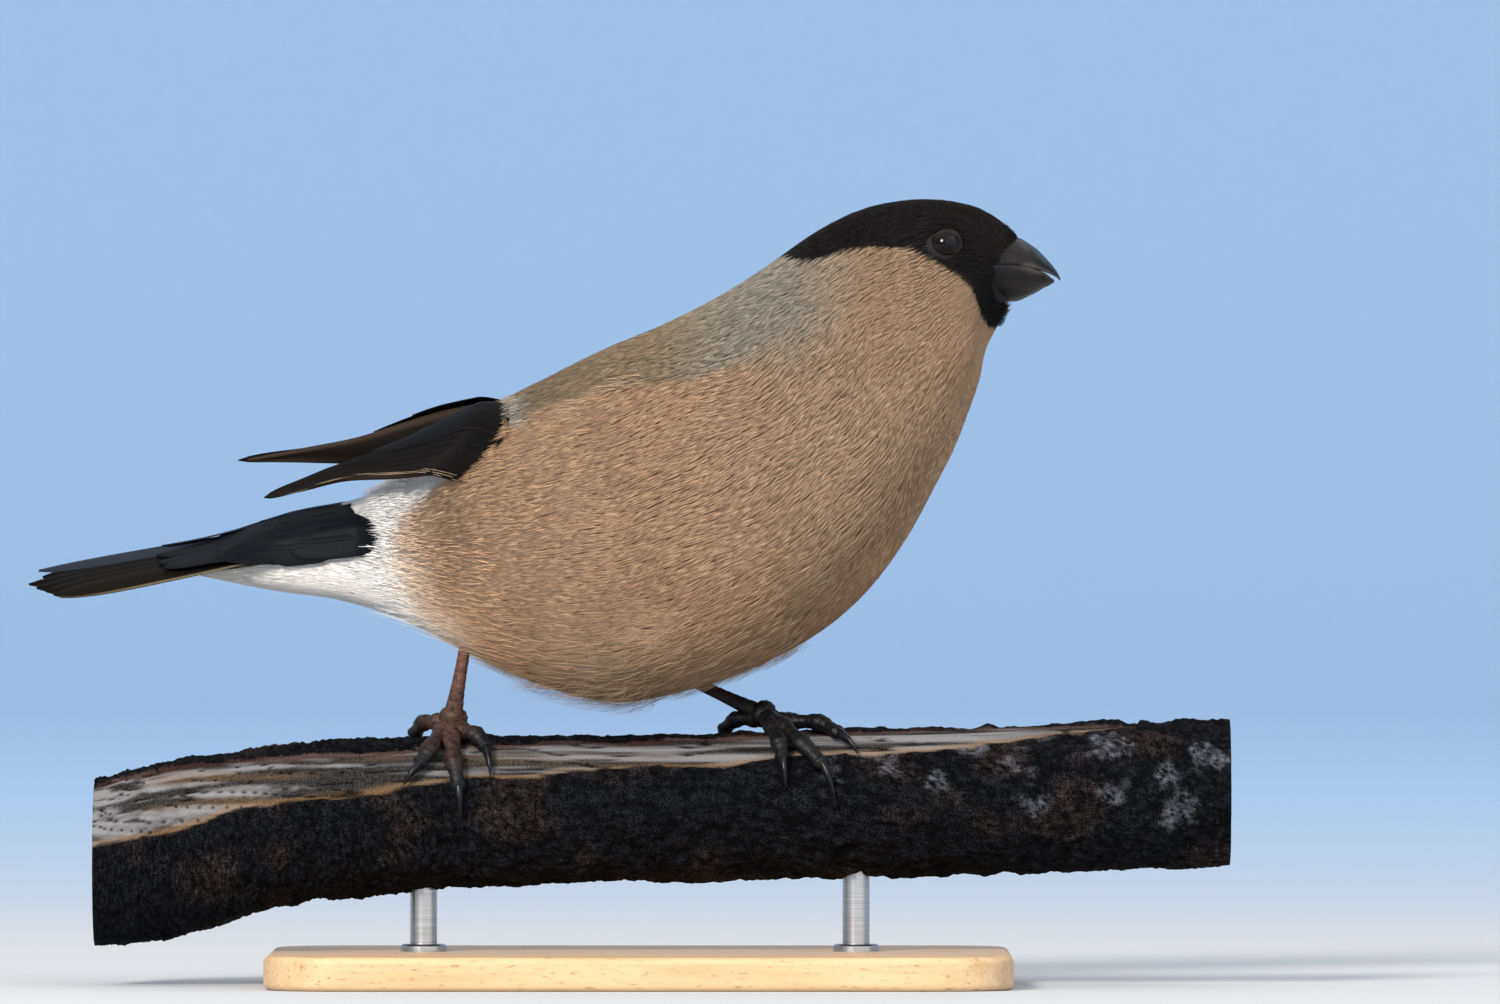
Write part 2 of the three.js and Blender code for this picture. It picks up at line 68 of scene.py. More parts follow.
def node(tree, kind, output, inputs=None, stops=(), **settings):
    """Adds a shader node with its settings and gives back its named output. An input given as a
    socket is linked, and stops are the places and hex colours of a colour ramp."""
    new = tree.nodes.new(kind)
    for name, value in settings.items():
        setattr(new, name, value)
    for name, value in (inputs or {}).items():
        if isinstance(value, bpy.types.NodeSocket):
            tree.links.new(value, new.inputs[name])
        else:
            new.inputs[name].default_value = value
    if stops:
        elements = new.color_ramp.elements
        while len(elements) < len(stops):
            elements.new(1.0)
        for element, (place, colour) in zip(elements, stops):
            element.position = place
            element.color = linear(colour)
    return new.outputs[output] if output else None


def material(name, look, **values):
    """A new material. Its look adds nodes to the tree, and gives back the inputs of a principled
    surface as numbers and sockets."""
    new = bpy.data.materials.new(name)
    new.use_nodes = True
    tree = new.node_tree
    tree.nodes.clear()
    shader = node(tree, "ShaderNodeBsdfPrincipled", "BSDF", look(tree, **values))
    node(tree, "ShaderNodeOutputMaterial", None, {"Surface": shader})
    return new


def full_turn(number):
    """A number of angles in equal steps once round."""
    return np.linspace(0, 2 * math.pi, number, endpoint=False)


def grid_faces(rows, columns):
    """Four-cornered faces of a grid whose columns run round and whose rows run on."""
    row = np.arange(rows - 1)[:, None] * columns
    column = np.arange(columns)[None, :]
    after = (column + 1) % columns
    corners = [row + column, row + after, row + columns + after, row + columns + column]
    return np.stack(corners, axis=-1).reshape(-1, 4)


def facing_out(points, quads, tris):
    """The faces of a closed surface turned outwards, which makes its signed volume positive."""
    a, b, c, d = (points[quads[:, i]] for i in range(4))
    volume = (a * np.cross(b, c)).sum() + (a * np.cross(c, d)).sum()
    a, b, c = (points[tris[:, i]] for i in range(3))
    volume += (a * np.cross(b, c)).sum()
    return (points, quads, tris) if volume > 0 else (points, quads[:, ::-1], tris[:, ::-1])


def tube(rings, tips=None):
    """A closed surface: rings of points one after another, each end drawn to a tip."""
    rows, columns = rings.shape[:2]
    tips = rings[[0, -1]].mean(1) if tips is None else np.array(tips)
    points = np.concatenate([rings.reshape(-1, 3), tips])
    around = np.arange(columns)
    after = (around + 1) % columns
    first, last, start = rows * columns, rows * columns + 1, (rows - 1) * columns
    fans = [np.stack([first + 0 * around, after, around], -1),
            np.stack([last + 0 * around, start + around, start + after], -1)]
    return facing_out(points, grid_faces(rows, columns), np.concatenate(fans))


def join(surfaces):
    """Several surfaces as one: points, quads and triangles."""
    points, quads, tris = [], [], []
    base = 0
    for more_points, more_quads, more_tris in surfaces:
        points.append(more_points)
        quads.append(more_quads + base)
        tris.append(more_tris + base)
        base += len(more_points)
    return np.concatenate(points), np.concatenate(quads), np.concatenate(tris)


def add_mesh(name, surface, look, colours=None, smooth=True):
    """A mesh object from a surface in millimetres, with a colour for every point."""
    points, quads, tris = surface
    corners = np.concatenate([quads.ravel(), tris.ravel()]).astype(np.int32)
    sizes = np.concatenate([np.full(len(quads), 4), np.full(len(tris), 3)])
    starts = np.concatenate([[0], np.cumsum(sizes)[:-1]]).astype(np.int32)
    mesh = bpy.data.meshes.new(name)
    mesh.vertices.add(len(points))
    mesh.vertices.foreach_set("co", (points * MM).astype(np.float32).ravel())
    mesh.loops.add(len(corners))
    mesh.loops.foreach_set("vertex_index", corners)
    mesh.polygons.add(len(sizes))
    mesh.polygons.foreach_set("loop_start", starts)
    mesh.polygons.foreach_set("use_smooth", np.full(len(sizes), smooth))
    mesh.update(calc_edges=True)
    if colours is not None:
        layer = mesh.attributes.new("tint", "FLOAT_COLOR", "POINT")
        full = np.ones((len(points), 4), np.float32)
        full[:, :3] = colours
        layer.data.foreach_set("color", full.ravel())
    mesh.materials.append(look)
    thing = bpy.data.objects.new(name, mesh)
    bpy.context.scene.collection.objects.link(thing)
    return thing


def add_piece(name, surface, look, stands_for=(), colours=None, smooth=True):
    """A piece of the model: a mesh that rides the body and may stand for CAD nodes."""
    thing = add_mesh(name, surface, look, colours, smooth)
    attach(thing, "root")
    if stands_for:
        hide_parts(*stands_for)
    return thing


def smoothstep(low, high, value):
    """0 at low, 1 at high, held beyond them, and a smooth rise between."""
    t = np.clip((value - low) / (high - low), 0, 1)
    return t * t * (3 - 2 * t)


def blend(under, over, share):
    """under where share is 0, over where it is 1."""
    return under + (over - under) * np.asarray(share)[..., None]


def paper_look(tree):
    """Matte paper, which has no highlight: grey round the stand, and pale blue further off. Its
    colour goes by the distance from the stand in metres."""
    place = node(tree, "ShaderNodeTexCoord", "Object")
    away = node(tree, "ShaderNodeVectorMath", "Value", {0: place}, operation="LENGTH")
    spread = node(tree, "ShaderNodeMapRange", "Result", {"Value": away, "From Min": 0.3, "From Max": 3.0})
    colour = node(tree, "ShaderNodeValToRGB", "Color", {"Fac": spread},
                  stops=[(0.0, "#bfc2c5"), (0.15, "#b6c2d0"), (0.6, "#adcbea")])
    return {"Base Color": colour, "Roughness": 0.9, "Specular IOR Level": 0.05}


SWEEP_FLAT = 4200
SWEEP_RADIUS = 8000
SWEEP_HEIGHT = 6500
SWEEP_SIDES = 96
FLOOR_RINGS = [1, 700, 1500, 3000]
turns = full_turn(SWEEP_SIDES)
rise = np.linspace(0, math.pi / 2, 30)
radius = np.concatenate([FLOOR_RINGS, SWEEP_FLAT + (SWEEP_RADIUS - SWEEP_FLAT) * np.sin(rise)])
height = np.concatenate([np.zeros(len(FLOOR_RINGS)), SWEEP_HEIGHT * (1 - np.cos(rise))])
rings = np.stack([np.outer(radius, np.cos(turns)), np.outer(radius, np.sin(turns)),
                  np.outer(height, np.ones(SWEEP_SIDES))], -1)
sweep_surface = rings.reshape(-1, 3), grid_faces(len(radius), SWEEP_SIDES), np.zeros((0, 3), int)
sweep = add_mesh("studio_sweep", sweep_surface, material("matte studio paper", paper_look))

camera_data = bpy.data.cameras.new("camera")
camera_data.sensor_width = FILM_WIDTH
camera_data.lens = camera_data.sensor_width * CAMERA_DISTANCE / (PHOTO_SIZE[0] * PHOTO_SCALE)
camera_data.clip_end = 40
camera = bpy.data.objects.new("camera", camera_data)
camera.location = (LENS_MIDDLE[0] * MM, -CAMERA_DISTANCE * MM, LENS_MIDDLE[1] * MM)
camera.rotation_euler = (math.pi / 2, 0, 0)
bpy.context.scene.collection.objects.link(camera)
bpy.context.scene.camera = camera
bpy.context.scene.view_settings.view_transform = "Standard"


def soft_light(name, place, size, watts, colour):
    """A square area light at a place in metres, turned towards the bird."""
    data = bpy.data.lights.new(name, "AREA")
    data.size = size
    data.energy = watts
    data.color = linear(colour)[:3]
    lamp = bpy.data.objects.new(name, data)
    lamp.location = place
    aim = np.array([0.0, 0.0, 0.08]) - place
    flat = math.hypot(aim[0], aim[1])
    lamp.rotation_euler = (math.atan2(flat, -aim[2]), 0, math.atan2(aim[1], aim[0]) - math.pi / 2)
    bpy.context.scene.collection.objects.link(lamp)


soft_light("key", (-1.0, -2.1, 1.25), 0.7, 92, "#fff5ea")
soft_light("fill", (1.6, -2.2, 0.8), 4.0, 66, "#fff8f0")
world = bpy.data.worlds.new("sky")
world.use_nodes = True
background = world.node_tree.nodes["Background"]
background.inputs["Color"].default_value = linear("#f9f5ef")
background.inputs["Strength"].default_value = 1.15
bpy.context.scene.world = world

# The body's skin
# One closed surface under all the plumage from the bill to the tail coverts, inside the solids
# by the plumage's depth. Its sections are those of the solids, joined by smooth curves, and it
# carries the same markings as the feathers. Soft folds ring the neck and cross the thighs, and
# lids of bare skin ring the eyes.

# Each section: x and z on the back, x and z on the underside, and half the width.
BODY = np.array([
    (55.6, 111.3, 54.3, 99.9, 4.0), (53.2, 113.3, 52.8, 97.3, 5.4), (49.6, 115.3, 51.2, 93.9, 9.0),
    (44.4, 116.3, 50.3, 89.5, 12.1), (38.5, 116.2, 48.5, 84.2, 13.9), (31.8, 114.6, 46.6, 79.3, 15.8),
    (25.2, 111.1, 43.7, 73.6, 18.2), (18.5, 106.4, 39.2, 65.4, 20.8), (11.1, 101.8, 33.3, 57.7, 23.2),
    (3.0, 97.8, 25.9, 51.5, 24.9), (-5.2, 94.4, 16.3, 46.5, 25.6), (-13.3, 90.4, 5.9, 43.1, 25.6),
    (-20.7, 86.6, -4.4, 41.7, 24.0), (-27.4, 81.6, -16.3, 44.8, 20.2), (-34.0, 77.2, -26.6, 49.6, 14.8),
    (-40.3, 73.8, -35.8, 54.2, 10.6), (-46.6, 71.9, -45.1, 57.0, 8.4), (-53.3, 70.2, -54.0, 58.3, 6.8),
    (-64.6, 63.8, -65.2, 60.6, 2.4)])
LAST_SECTION = len(BODY) - 1
PEAR = 0.12  # how much wider a section is low down than high up
END_DOME = 0.9  # how far each closed end bulges, in millimetres
EYE = np.array([45.1, 8.2, 109.5])  # the left eyeball's middle, which the right one mirrors
EYE_RADIUS = 2.9
NEAR_POLE = 0.97  # past this place in an end's dome a normal can't be told
# How thick the plumage is at sections along the body, and how far its surface lies inside the
# solids on the back of the rump.
DEPTH_PLACES = [-1, 0.3, 1.3, 2, 4, 6, 9, 12, 13, 14, 15, 16, 17, 18]
DEPTHS = [1.2, 0.9, 0.55, 0.5, 0.65, 0.8, 1.1, 1.25, 1.2, 1.1, 1.0, 0.9, 0.7, 0.4]
RUMP_SINK = [0, 0, 0, 0, 0, 0, 0, 0, 0.25, 0.8, 1.1, 1.0, 0.6, 0.1]


def curve(stops, place):
    """A smooth curve through stops, at places counted in stops: in each span the cubic whose
    slope at a stop is half the way from the stop before to the stop after."""
    stops = np.asarray(stops, float)
    padded = np.concatenate([2 * stops[:1] - stops[1:2], stops, 2 * stops[-1:] - stops[-2:-1]])
    span = np.clip(np.floor(place), 0, len(stops) - 2).astype(int)
    t = (place - span)[..., None]
    a, b, c, d = (padded[span + i] for i in range(4))
    return b + 0.5 * t * (c - a + t * (2 * a - 5 * b + 4 * c - d + t * (3 * b - a - 3 * c + d)))


def body_outline(place, turn):
    """The solids' surface at a place counted in sections and a turn from the back towards the
    left. Past either end the ring shrinks as a cosine, which closes the end with a dome."""
    section = curve(BODY, np.clip(place, 0, LAST_SECTION))
    top = np.stack([section[..., 0], 0 * place, section[..., 1]], -1)
    bottom = np.stack([section[..., 2], 0 * place, section[..., 3]], -1)
    over = np.clip(-place, 0, 1) + np.clip(place - LAST_SECTION, 0, 1)
    shrink = np.cos(over * math.pi / 2)
    point = (top + bottom) / 2 + (top - bottom) / 2 * (np.cos(turn) * shrink)[..., None]
    point[..., 1] = section[..., 4] * np.sin(turn) * (1 - PEAR * np.cos(turn)) * shrink
    point[..., 0] += np.sign(-place) * END_DOME * np.sin(over * math.pi / 2)
    return point


def with_normal(outline, place, turn):
    """A surface's point, outward normal and two derivatives, by central differences."""
    step = 0.01
    point = outline(place, turn)
    along = outline(place + step, turn) - outline(place - step, turn)
    around = outline(place, turn + step) - outline(place, turn - step)
    normal = np.cross(around, along)
    length = np.linalg.norm(normal, axis=-1, keepdims=True)
    return point, normal / np.maximum(length, 1e-9), along / (2 * step), around / (2 * step)


def over_body(place, turn, height):
    """A point at a height over the skin, with the normal and both derivatives there. The skin
    lies below the outline by the plumage's depth, and swells to a brow over each eye."""
    safe = np.clip(place, -NEAR_POLE, LAST_SECTION + NEAR_POLE)
    point, normal, along, around = with_normal(body_outline, safe, turn)
    sink = np.interp(place, DEPTH_PLACES, RUMP_SINK) * smoothstep(-0.9, 0.4, np.cos(turn))
    depth = np.interp(place, DEPTH_PLACES, DEPTHS) + sink
    brow_x, brow_z = (point[..., 0] - EYE[0]) / 4.2, (point[..., 2] - EYE[2] - 2.4) / 2.8
    brow = 1.5 * np.exp(-brow_x ** 2 - brow_z ** 2) * smoothstep(4, 7, np.abs(point[..., 1]))
    return point + normal * (height - depth + brow)[..., None], normal, along, around


CELLS = 32
LATTICE = np.random.default_rng(4).uniform(-1, 1, (CELLS, CELLS, CELLS))


def lumps(points, cell, shift=0.0, octaves=1):
    """Soft noise from about -1 to 1: random values on a lattice of cells, joined smoothly.
    Every further octave is half as coarse and half as strong."""
    total = 0
    for octave in range(octaves):
        place = points / cell * 2 ** octave + shift + 11.7 * octave
        corner = np.floor(place).astype(int)
        t = smoothstep(0, 1, place - corner)
        for k in range(8):
            bits = np.array([k & 1, k >> 1 & 1, k >> 2])
            index = (corner + bits) % CELLS
            share = np.prod(np.where(bits, t, 1 - t), axis=-1)
            total = total + share * LATTICE[tuple(np.moveaxis(index, -1, 0))] / 2 ** octave
    return 1.5 * total


# Where the black cap ends below, from the nape past the eye to the chin, as x and z.
CAP_X = [20.4, 21.4, 22.9, 25.3, 27.1, 29.7, 33.9, 40.3, 41.6, 43.7, 46.0, 48.1, 49.1, 49.8, 50.5, 51.6, 60]
CAP_Z = [130, 108.6, 107.7, 107.4, 107.7, 108.8, 109.2, 109.1, 108.3, 107.1, 105.7, 104.3, 103.2, 101.5,
         99.2, 97.6, 97.3]
# Where the grey-brown back ends below, over the buff flank.
MANTLE_X = [-24, -19.2, -11.8, -7.7, -2.7, 1.9, 9.3, 14.8, 22.6, 28.9, 32]
MANTLE_Z = [80.5, 82.5, 86.4, 87.3, 88.7, 89.0, 89.7, 92.2, 94.2, 97.7, 103]
# Where the white rump ends in front, as z and x.
WHITE_Z = [48, 52, 56, 60, 66, 70, 74, 78]
WHITE_X = [-25, -27.5, -31, -33, -33.7, -32.2, -28.5, -24]
# The black tail coverts: their front edge as z and x, their lower edge as x and z.
COVERT_Z = [60, 65.1, 66.6, 69.6, 71.3, 74]
COVERT_FRONT = [-40.4, -40.2, -39.8, -41.7, -44.8, -46.6]
COVERT_X = [-64, -57.7, -50.3, -42.9, -39.2]
COVERT_LOW = [60.8, 61.9, 62.8, 63.9, 65.1]

PLUMAGE = {name: tone(colour) for name, colour in {
    "cap": "#120f0f", "cheek": "#9a8167", "breast": "#a1896f", "flank": "#a8886a", "rear": "#bb9874",
    "belly": "#a58e75", "front": "#b6977a", "nape": "#8e877a", "mantle": "#88775f", "white": "#f4f1ec",
    "cream": "#e2cdb5", "bar": "#a99f93"}.items()}


def layered(points, base, *layers):
    """A colour for each point: the base, with one colour after another laid over it, each by a
    share from 0 to 1."""
    colour = np.broadcast_to(base, points.shape)
    for over, share in layers:
        colour = blend(colour, over, share)
    return colour


def markings(points, ragged=0.0):
    """The plumage's colour at points of the body: each mark is laid on by smooth steps across its
    edges, which are told in millimetres of x, z and distance from the middle. ragged moves the
    edges about."""
    x, z = points[..., 0] + ragged, points[..., 2] + ragged
    side = np.abs(points[..., 1])
    front = smoothstep(18, 5, side) * smoothstep(22, 34, x) * smoothstep(102, 94, z)
    mantle = layered(points, PLUMAGE["mantle"], (PLUMAGE["nape"], smoothstep(0, 17, x)))
    above = z - np.interp(x, MANTLE_X, MANTLE_Z)
    nape_edge = smoothstep(37, 20 + 4 * smoothstep(104, 96, z), x)
    soft = 0.7 + 6.5 * smoothstep(10, 26, x)
    bar = smoothstep(-15.0, -16.6, x) * smoothstep(82.4, 83.6, z) * smoothstep(-19, -18, -side)
    behind = np.interp(z, WHITE_Z, WHITE_X) - x
    black = smoothstep(-0.3, 0.3, np.interp(z, COVERT_Z, COVERT_FRONT) - x)
    black = black * smoothstep(-0.3, 0.3, z - np.interp(x, COVERT_X, COVERT_LOW))
    cap = smoothstep(-0.2, 0.2, z - np.interp(x, CAP_X, CAP_Z))
    return layered(points, PLUMAGE["flank"],
                   (PLUMAGE["breast"], smoothstep(2, 30, x)),
                   (PLUMAGE["belly"], smoothstep(58, 46, z)),
                   (PLUMAGE["rear"], smoothstep(-2, -24, x)),
                   (PLUMAGE["cheek"], smoothstep(84, 98, z) * smoothstep(26, 36, x)),
                   (PLUMAGE["front"], front),
                   (mantle, smoothstep(-soft, soft, above) * nape_edge),
                   (PLUMAGE["bar"], bar * smoothstep(3, 6, side)),
                   (PLUMAGE["cream"], smoothstep(-6, 0, behind) * smoothstep(74, 60, z)),
                   (PLUMAGE["white"], smoothstep(-0.8, 2.2, behind)),
                   (PLUMAGE["cap"], np.maximum(cap, black)))


def lid_ring(side):
    """A closed ring of bare skin round an eye: an ellipse with drawn-out corners, laid on the
    eyeball and finely wrinkled across."""
    rows, columns = 110, 14
    wide, tall, thick = 2.30, 1.86, 0.15
    way = full_turn(rows)[:, None]
    turn = full_turn(columns)[None, :]
    wrinkle = 1 + 0.10 * np.cos(way * 37) * np.maximum(np.cos(turn), 0)
    x = wide * np.cos(way) * (1 + 0.06 * np.cos(way) ** 8)
    z = tall * np.sin(way)
    stand = np.sqrt(np.maximum(EYE_RADIUS ** 2 - x ** 2 - z ** 2, 0.5))
    out = thick * np.cos(turn) * wrinkle
    x, z = x + out * np.cos(way), z + out * np.sin(way)
    y = stand - 0.02 - 0.5 * out + thick * 0.8 * np.sin(turn) * wrinkle
    points = np.stack([EYE[0] + x, side * (EYE[1] + y), EYE[2] + z], -1).reshape(-1, 3)
    return facing_out(points, grid_faces(rows + 1, columns) % (rows * columns), np.zeros((0, 3), int))


def folds(place, turn):
    """How far the skin sinks into its folds, each a bell curve across it: rings on the neck, and
    a crease at each thigh."""
    side = np.abs(np.sin(turn))
    total = 0
    for ring_place in (5.2, 6.1, 7.0):
        total = total + 0.22 * np.exp(-((place - ring_place - 0.2 * np.cos(turn)) / 0.16) ** 2) * side
    thigh = np.exp(-((place - 12.7 - 0.5 * np.cos(turn)) / 0.2) ** 2) * smoothstep(0, -0.6, np.cos(turn))
    return total + 0.3 * thigh * side


def plumage_look(tree):
    """Dry feather keratin, so fine that it scatters the light: soft and without highlights. Only
    the black is smooth enough for a dull gloss, so roughness goes by brightness."""
    tint = node(tree, "ShaderNodeAttribute", "Color", attribute_name="tint")
    brightness = node(tree, "ShaderNodeRGBToBW", "Val", {"Color": tint})
    roughness = node(tree, "ShaderNodeMapRange", "Result",
                     {"Value": brightness, "From Max": 0.1, "To Min": 0.5, "To Max": 0.8})
    return {"Base Color": tint, "Roughness": roughness, "IOR": 1.2, "Sheen Weight": 0.03,
            "Sheen Roughness": 0.5}


SKIN_ROWS, SKIN_COLUMNS = 230, 120
SKIN_POLE = 0.985
places = np.linspace(-SKIN_POLE, LAST_SECTION + SKIN_POLE, SKIN_ROWS)
places = places[:, None] + np.zeros((1, SKIN_COLUMNS))
turns = np.zeros((SKIN_ROWS, 1)) + full_turn(SKIN_COLUMNS)
body_skin = tube(over_body(places, turns, -folds(places, turns))[0])
skin_surface = join([body_skin, lid_ring(-1), lid_ring(1)])
skin_colours = markings(skin_surface[0])
skin_colours[len(body_skin[0]):] = tone("#191512")
plumage = material("soft plumage", plumage_look)
add_piece("skin", skin_surface, plumage, ("head", "neck", "trunk", "rump"), skin_colours)

# The plumage
# Every feather shows as a lock of loose barbs: thin closed fibres with a ridge, rooted under
# the skin and lying back along the body, each lock with its own shift, height and shade. Real
# barbs are about 0.02 mm thick, too fine to show, and are drawn up to ten times as thick.

BARB_STEPS = np.array([0, 0.3, 1.0])
BARB_FACES = np.array([[0, 1, 2], [0, 3, 1], [0, 2, 3], [4, 2, 1], [4, 1, 3], [4, 3, 2]])
# Painted shade: each barb is darker at its root, deep in the coat, and on its sides below the ridge, and
# lighter at its tip.
BARB_PAINTED_SHADE = np.array([0.9, 0.97, 0.97, 1.0, 1.03])  # brightness at root, left, right, ridge, tip
BAKE_PATCH = 0.003


def lay_barbs(ground, place, turn, lean, length, width, low, high):
    """Points (n, 5, 3) of closed three-sided barbs: a root, a ring of left, right and ridge, and
    a tip. Each starts at (place, turn) on the ground, runs with its flow turned by lean, and
    climbs from low to high as the way's fifth power root."""
    _, _, along, around = ground(place, turn, low)
    stride = np.linalg.norm(along, axis=-1)[:, None]
    girth = np.maximum(np.linalg.norm(around, axis=-1), 2.5)[:, None]
    way = BARB_STEPS[None, :] * length[:, None]
    places = place[:, None] + way * np.cos(lean)[:, None] / stride
    turns = turn[:, None] + way * np.sin(lean)[:, None] / girth
    heights = low[:, None] + (high - low)[:, None] * BARB_STEPS[None, :] ** 0.2
    spine, normal, _, _ = ground(places, turns, heights)
    across = np.cross(normal[:, 1], spine[:, 2] - spine[:, 0])
    across /= np.maximum(np.linalg.norm(across, axis=-1, keepdims=True), 1e-9)
    half = width[:, None] / 2
    ridge = half * np.interp(place, [8, 11], [0.75, 0.35])[:, None]
    middle = spine[:, 1]
    sides = [spine[:, 0], middle + across * half, middle - across * half,
             middle + normal[:, 1] * ridge, spine[:, 2]]
    return np.stack(sides, 1)


def add_barbs(name, corners, colours, place, turn):
    """A coat piece from barb points and a colour for each barb, painted darker at the root as shade.
    In the bake map each barb is a tiny patch at its root's place on an unwrap of the skin."""
    first = np.arange(len(corners))[:, None, None] * corners.shape[1]
    tris = (first + BARB_FACES).reshape(-1, 3)
    tints = (colours[:, None, :] * BARB_PAINTED_SHADE[None, :, None]).reshape(-1, 3)
    surface = corners.reshape(-1, 3), np.zeros((0, 4), int), tris
    coat = add_piece(name, surface, plumage, (), tints)
    root = np.stack([(place + 1) / (LAST_SECTION + 2), (turn / (2 * math.pi)) % 1], -1)[:, None]
    way = np.array([0, 0.3, 0.3, 0.3, 1])
    side = np.array([0.5, 0, 1, 0.5, 0.5])
    patch = root * (1 - BAKE_PATCH) + BAKE_PATCH * np.stack([way, side], -1)[None]
    loops = np.zeros(len(coat.data.loops), np.int32)
    coat.data.loops.foreach_get("vertex_index", loops)
    layer = coat.data.uv_layers.new(name="OFBake")
    layer.data.foreach_set("uv", patch.reshape(-1, 2)[loops].astype(np.float32).ravel())


# The feather line at the bill: no barb stands in front of it. As z and x.
FACE_Z = [97, 100.4, 101.2, 103.5, 106.4, 108.5, 110.6, 112]
FACE_X = [60, 60, 52.7, 51.9, 52.8, 54.6, 56.1, 60]


def on_bill(points):
    """Which points lie in front of the feather line, where the bill's base is bare."""
    return points[..., 0] > np.interp(points[..., 2], FACE_Z, FACE_X)


def near_eye(points):
    """Which points lie over an eye or its lids, seen from the side."""
    x, z = (points[..., 0] - EYE[0]) / 2.46, (points[..., 2] - EYE[2]) / 2.02
    return (x ** 2 + z ** 2 < 1) & (np.abs(points[..., 1]) > 4)


# Length and width of the barbs, in millimetres, at sections along the body.
LOOK_PLACES = [-0.6, 0.5, 2, 4, 6, 9, 12, 15, 18]
BARB_LENGTHS = [0.7, 0.9, 1.2, 1.8, 2.6, 3.6, 4.2, 4.4, 3.6]
BARB_WIDTHS = [0.10, 0.10, 0.11, 0.12, 0.13, 0.15, 0.185, 0.19, 0.18]
LOCK_RUN = 0.8  # sections from one lock's root to the next one's in the same row
CRIMP = 3.2  # millimetres of one small wave along the lie


def comb(points, run, crimp):
    """How far the lie swings sideways, in millimetres: wide waves, and crimps along the run."""
    waves = 0.8 * lumps(points, 9.0, 3.1)
    return waves + crimp * np.sin(run * 2 * math.pi / CRIMP + 3 * lumps(points, 9.0, 9.4))


def grow_plumage(name, seed, first, last, half, count, pitch):
    """Barbs over one stretch of one side of the body, gathered into rows of narrow locks along
    the lie. pitch is a row's width in radians. Each lock has its own shift, height and shade."""
    random = np.random.default_rng(seed)
    # Roots are drawn evenly over places and turns, and kept by the area that each stands for,
    # so that they lie evenly on the body, and closer near the bill.
    place = random.uniform(first, last, count * 5)
    turn = random.uniform(0, math.pi, count * 5) * half
    _, _, along, around = over_body(place, turn, 0 * place)
    area = np.linalg.norm(np.cross(along, around), axis=-1) * (1 + 1.6 * smoothstep(3, 0, place))
    chosen = np.flatnonzero(random.uniform(0, area.max(), count * 5) < area)[:count]
    place, turn, along, around = place[chosen], turn[chosen], along[chosen], around[chosen]
    total = len(place)
    width = np.interp(place, LOOK_PLACES, BARB_WIDTHS) * random.uniform(0.75, 1.25, total)
    length = np.interp(place, LOOK_PLACES, BARB_LENGTHS) * random.uniform(0.75, 1.2, total)
    thickness = np.interp(place, DEPTH_PLACES, DEPTHS)
    stride = np.linalg.norm(along, axis=-1)
    girth = np.maximum(np.linalg.norm(around, axis=-1), 2.5)
    flow = along / stride[:, None]
    # The lie waves from side to side, and the rows of locks wave with it.
    root = over_body(place, turn, thickness)[0]
    crimp = 0.07 * smoothstep(2, 4, place) * smoothstep(11, 7, place)
    swing = comb(root, place * stride, crimp)
    ahead, behind = (comb(root + flow * step, place * stride + step, crimp) for step in (0.4, -0.4))
    row = (turn - swing / girth) / pitch
    part = row - np.round(row)
    row = np.round(row).astype(int)
    cell = np.floor(place / LOCK_RUN + LATTICE[row % CELLS, 7, 3]).astype(int)
    shift, rise, shade = (LATTICE[row % CELLS, cell % CELLS, k] for k in (0, 1, 2))
    # A barb is drawn in to the middle of its row, stands higher there than at the row's edges,
    # and leans to the middle. Towards the tail the locks grow calmer, down to a smooth coat.
    calm = np.interp(place, [2, 4, 8, 11, 13], [1.0, 1.2, 1.1, 0.4, 0.2])
    squeeze = np.interp(place, [8, 11], [0.6, 1.0])
    turn = (row + squeeze * part + 0.35 * calm * shift) * pitch + swing / girth
    lean = (ahead - behind) / 0.8 - 0.15 * part + random.normal(0, 0.045, total)
    groove = np.interp(place, [1, 3, 8, 11, 13], [0.3, 1.0, 1.1, 0.2, 0.1])
    uneven = calm * (0.05 * rise + random.uniform(-0.045, 0.045, total))
    high = thickness * 0.88 + uneven - groove * part ** 2
    low = np.full(total, -0.1)
    # Barbs that would lie over an eye are cut short, and any that still do are left out.
    corners = lay_barbs(over_body, place, turn, lean, length, width, low, high)
    length = np.where(near_eye(corners).any(1), length * 0.5, length)
    corners = lay_barbs(over_body, place, turn, lean, length, width, low, high)
    kept = ~near_eye(corners).any(1) & ~on_bill(corners[:, 0])
    kept &= (place < 15.6) | (np.abs(turn) > 1.45)  # the coverts hide the skin behind there
    ragged = random.normal(0, 0.1, total)
    ragged = ragged + np.where((place > 8) & (place < 14), random.normal(0, 0.3, total), 0)
    colours = markings(corners[:, 3], ragged)
    shade = 1 + 0.04 * calm * shade + random.normal(0, 0.03, total) + 0.04 * lumps(corners[:, 3], 6.0, 5.5, 2)
    colours = colours * np.clip(shade, 0.7, 1.3)[:, None]
    add_barbs(name, corners[kept], colours[kept], place[kept], turn[kept])


# Each stretch of the coat: name, first and last section, barbs on a side, a row's width in
# radians, and slot.
STRETCHES = [("head", -0.5, 4.6, 29000, 0.020, "cap_feathers"),
             ("neck", 4.6, 8.0, 30000, 0.017, "body_feathers"),
             ("breast", 8.0, 11.6, 32400, 0.0145, "body_feathers"),
             ("flank", 11.6, 18.6, 28000, 0.0145, "body_feathers")]
for number, (stretch, first, last, count, pitch, slot) in enumerate(STRETCHES):
    for side, half in (("right", -1), ("left", 1)):
        grow_plumage(f"coat_{stretch}_{side}", 20 + 2 * number + half, first, last, half, count, pitch)


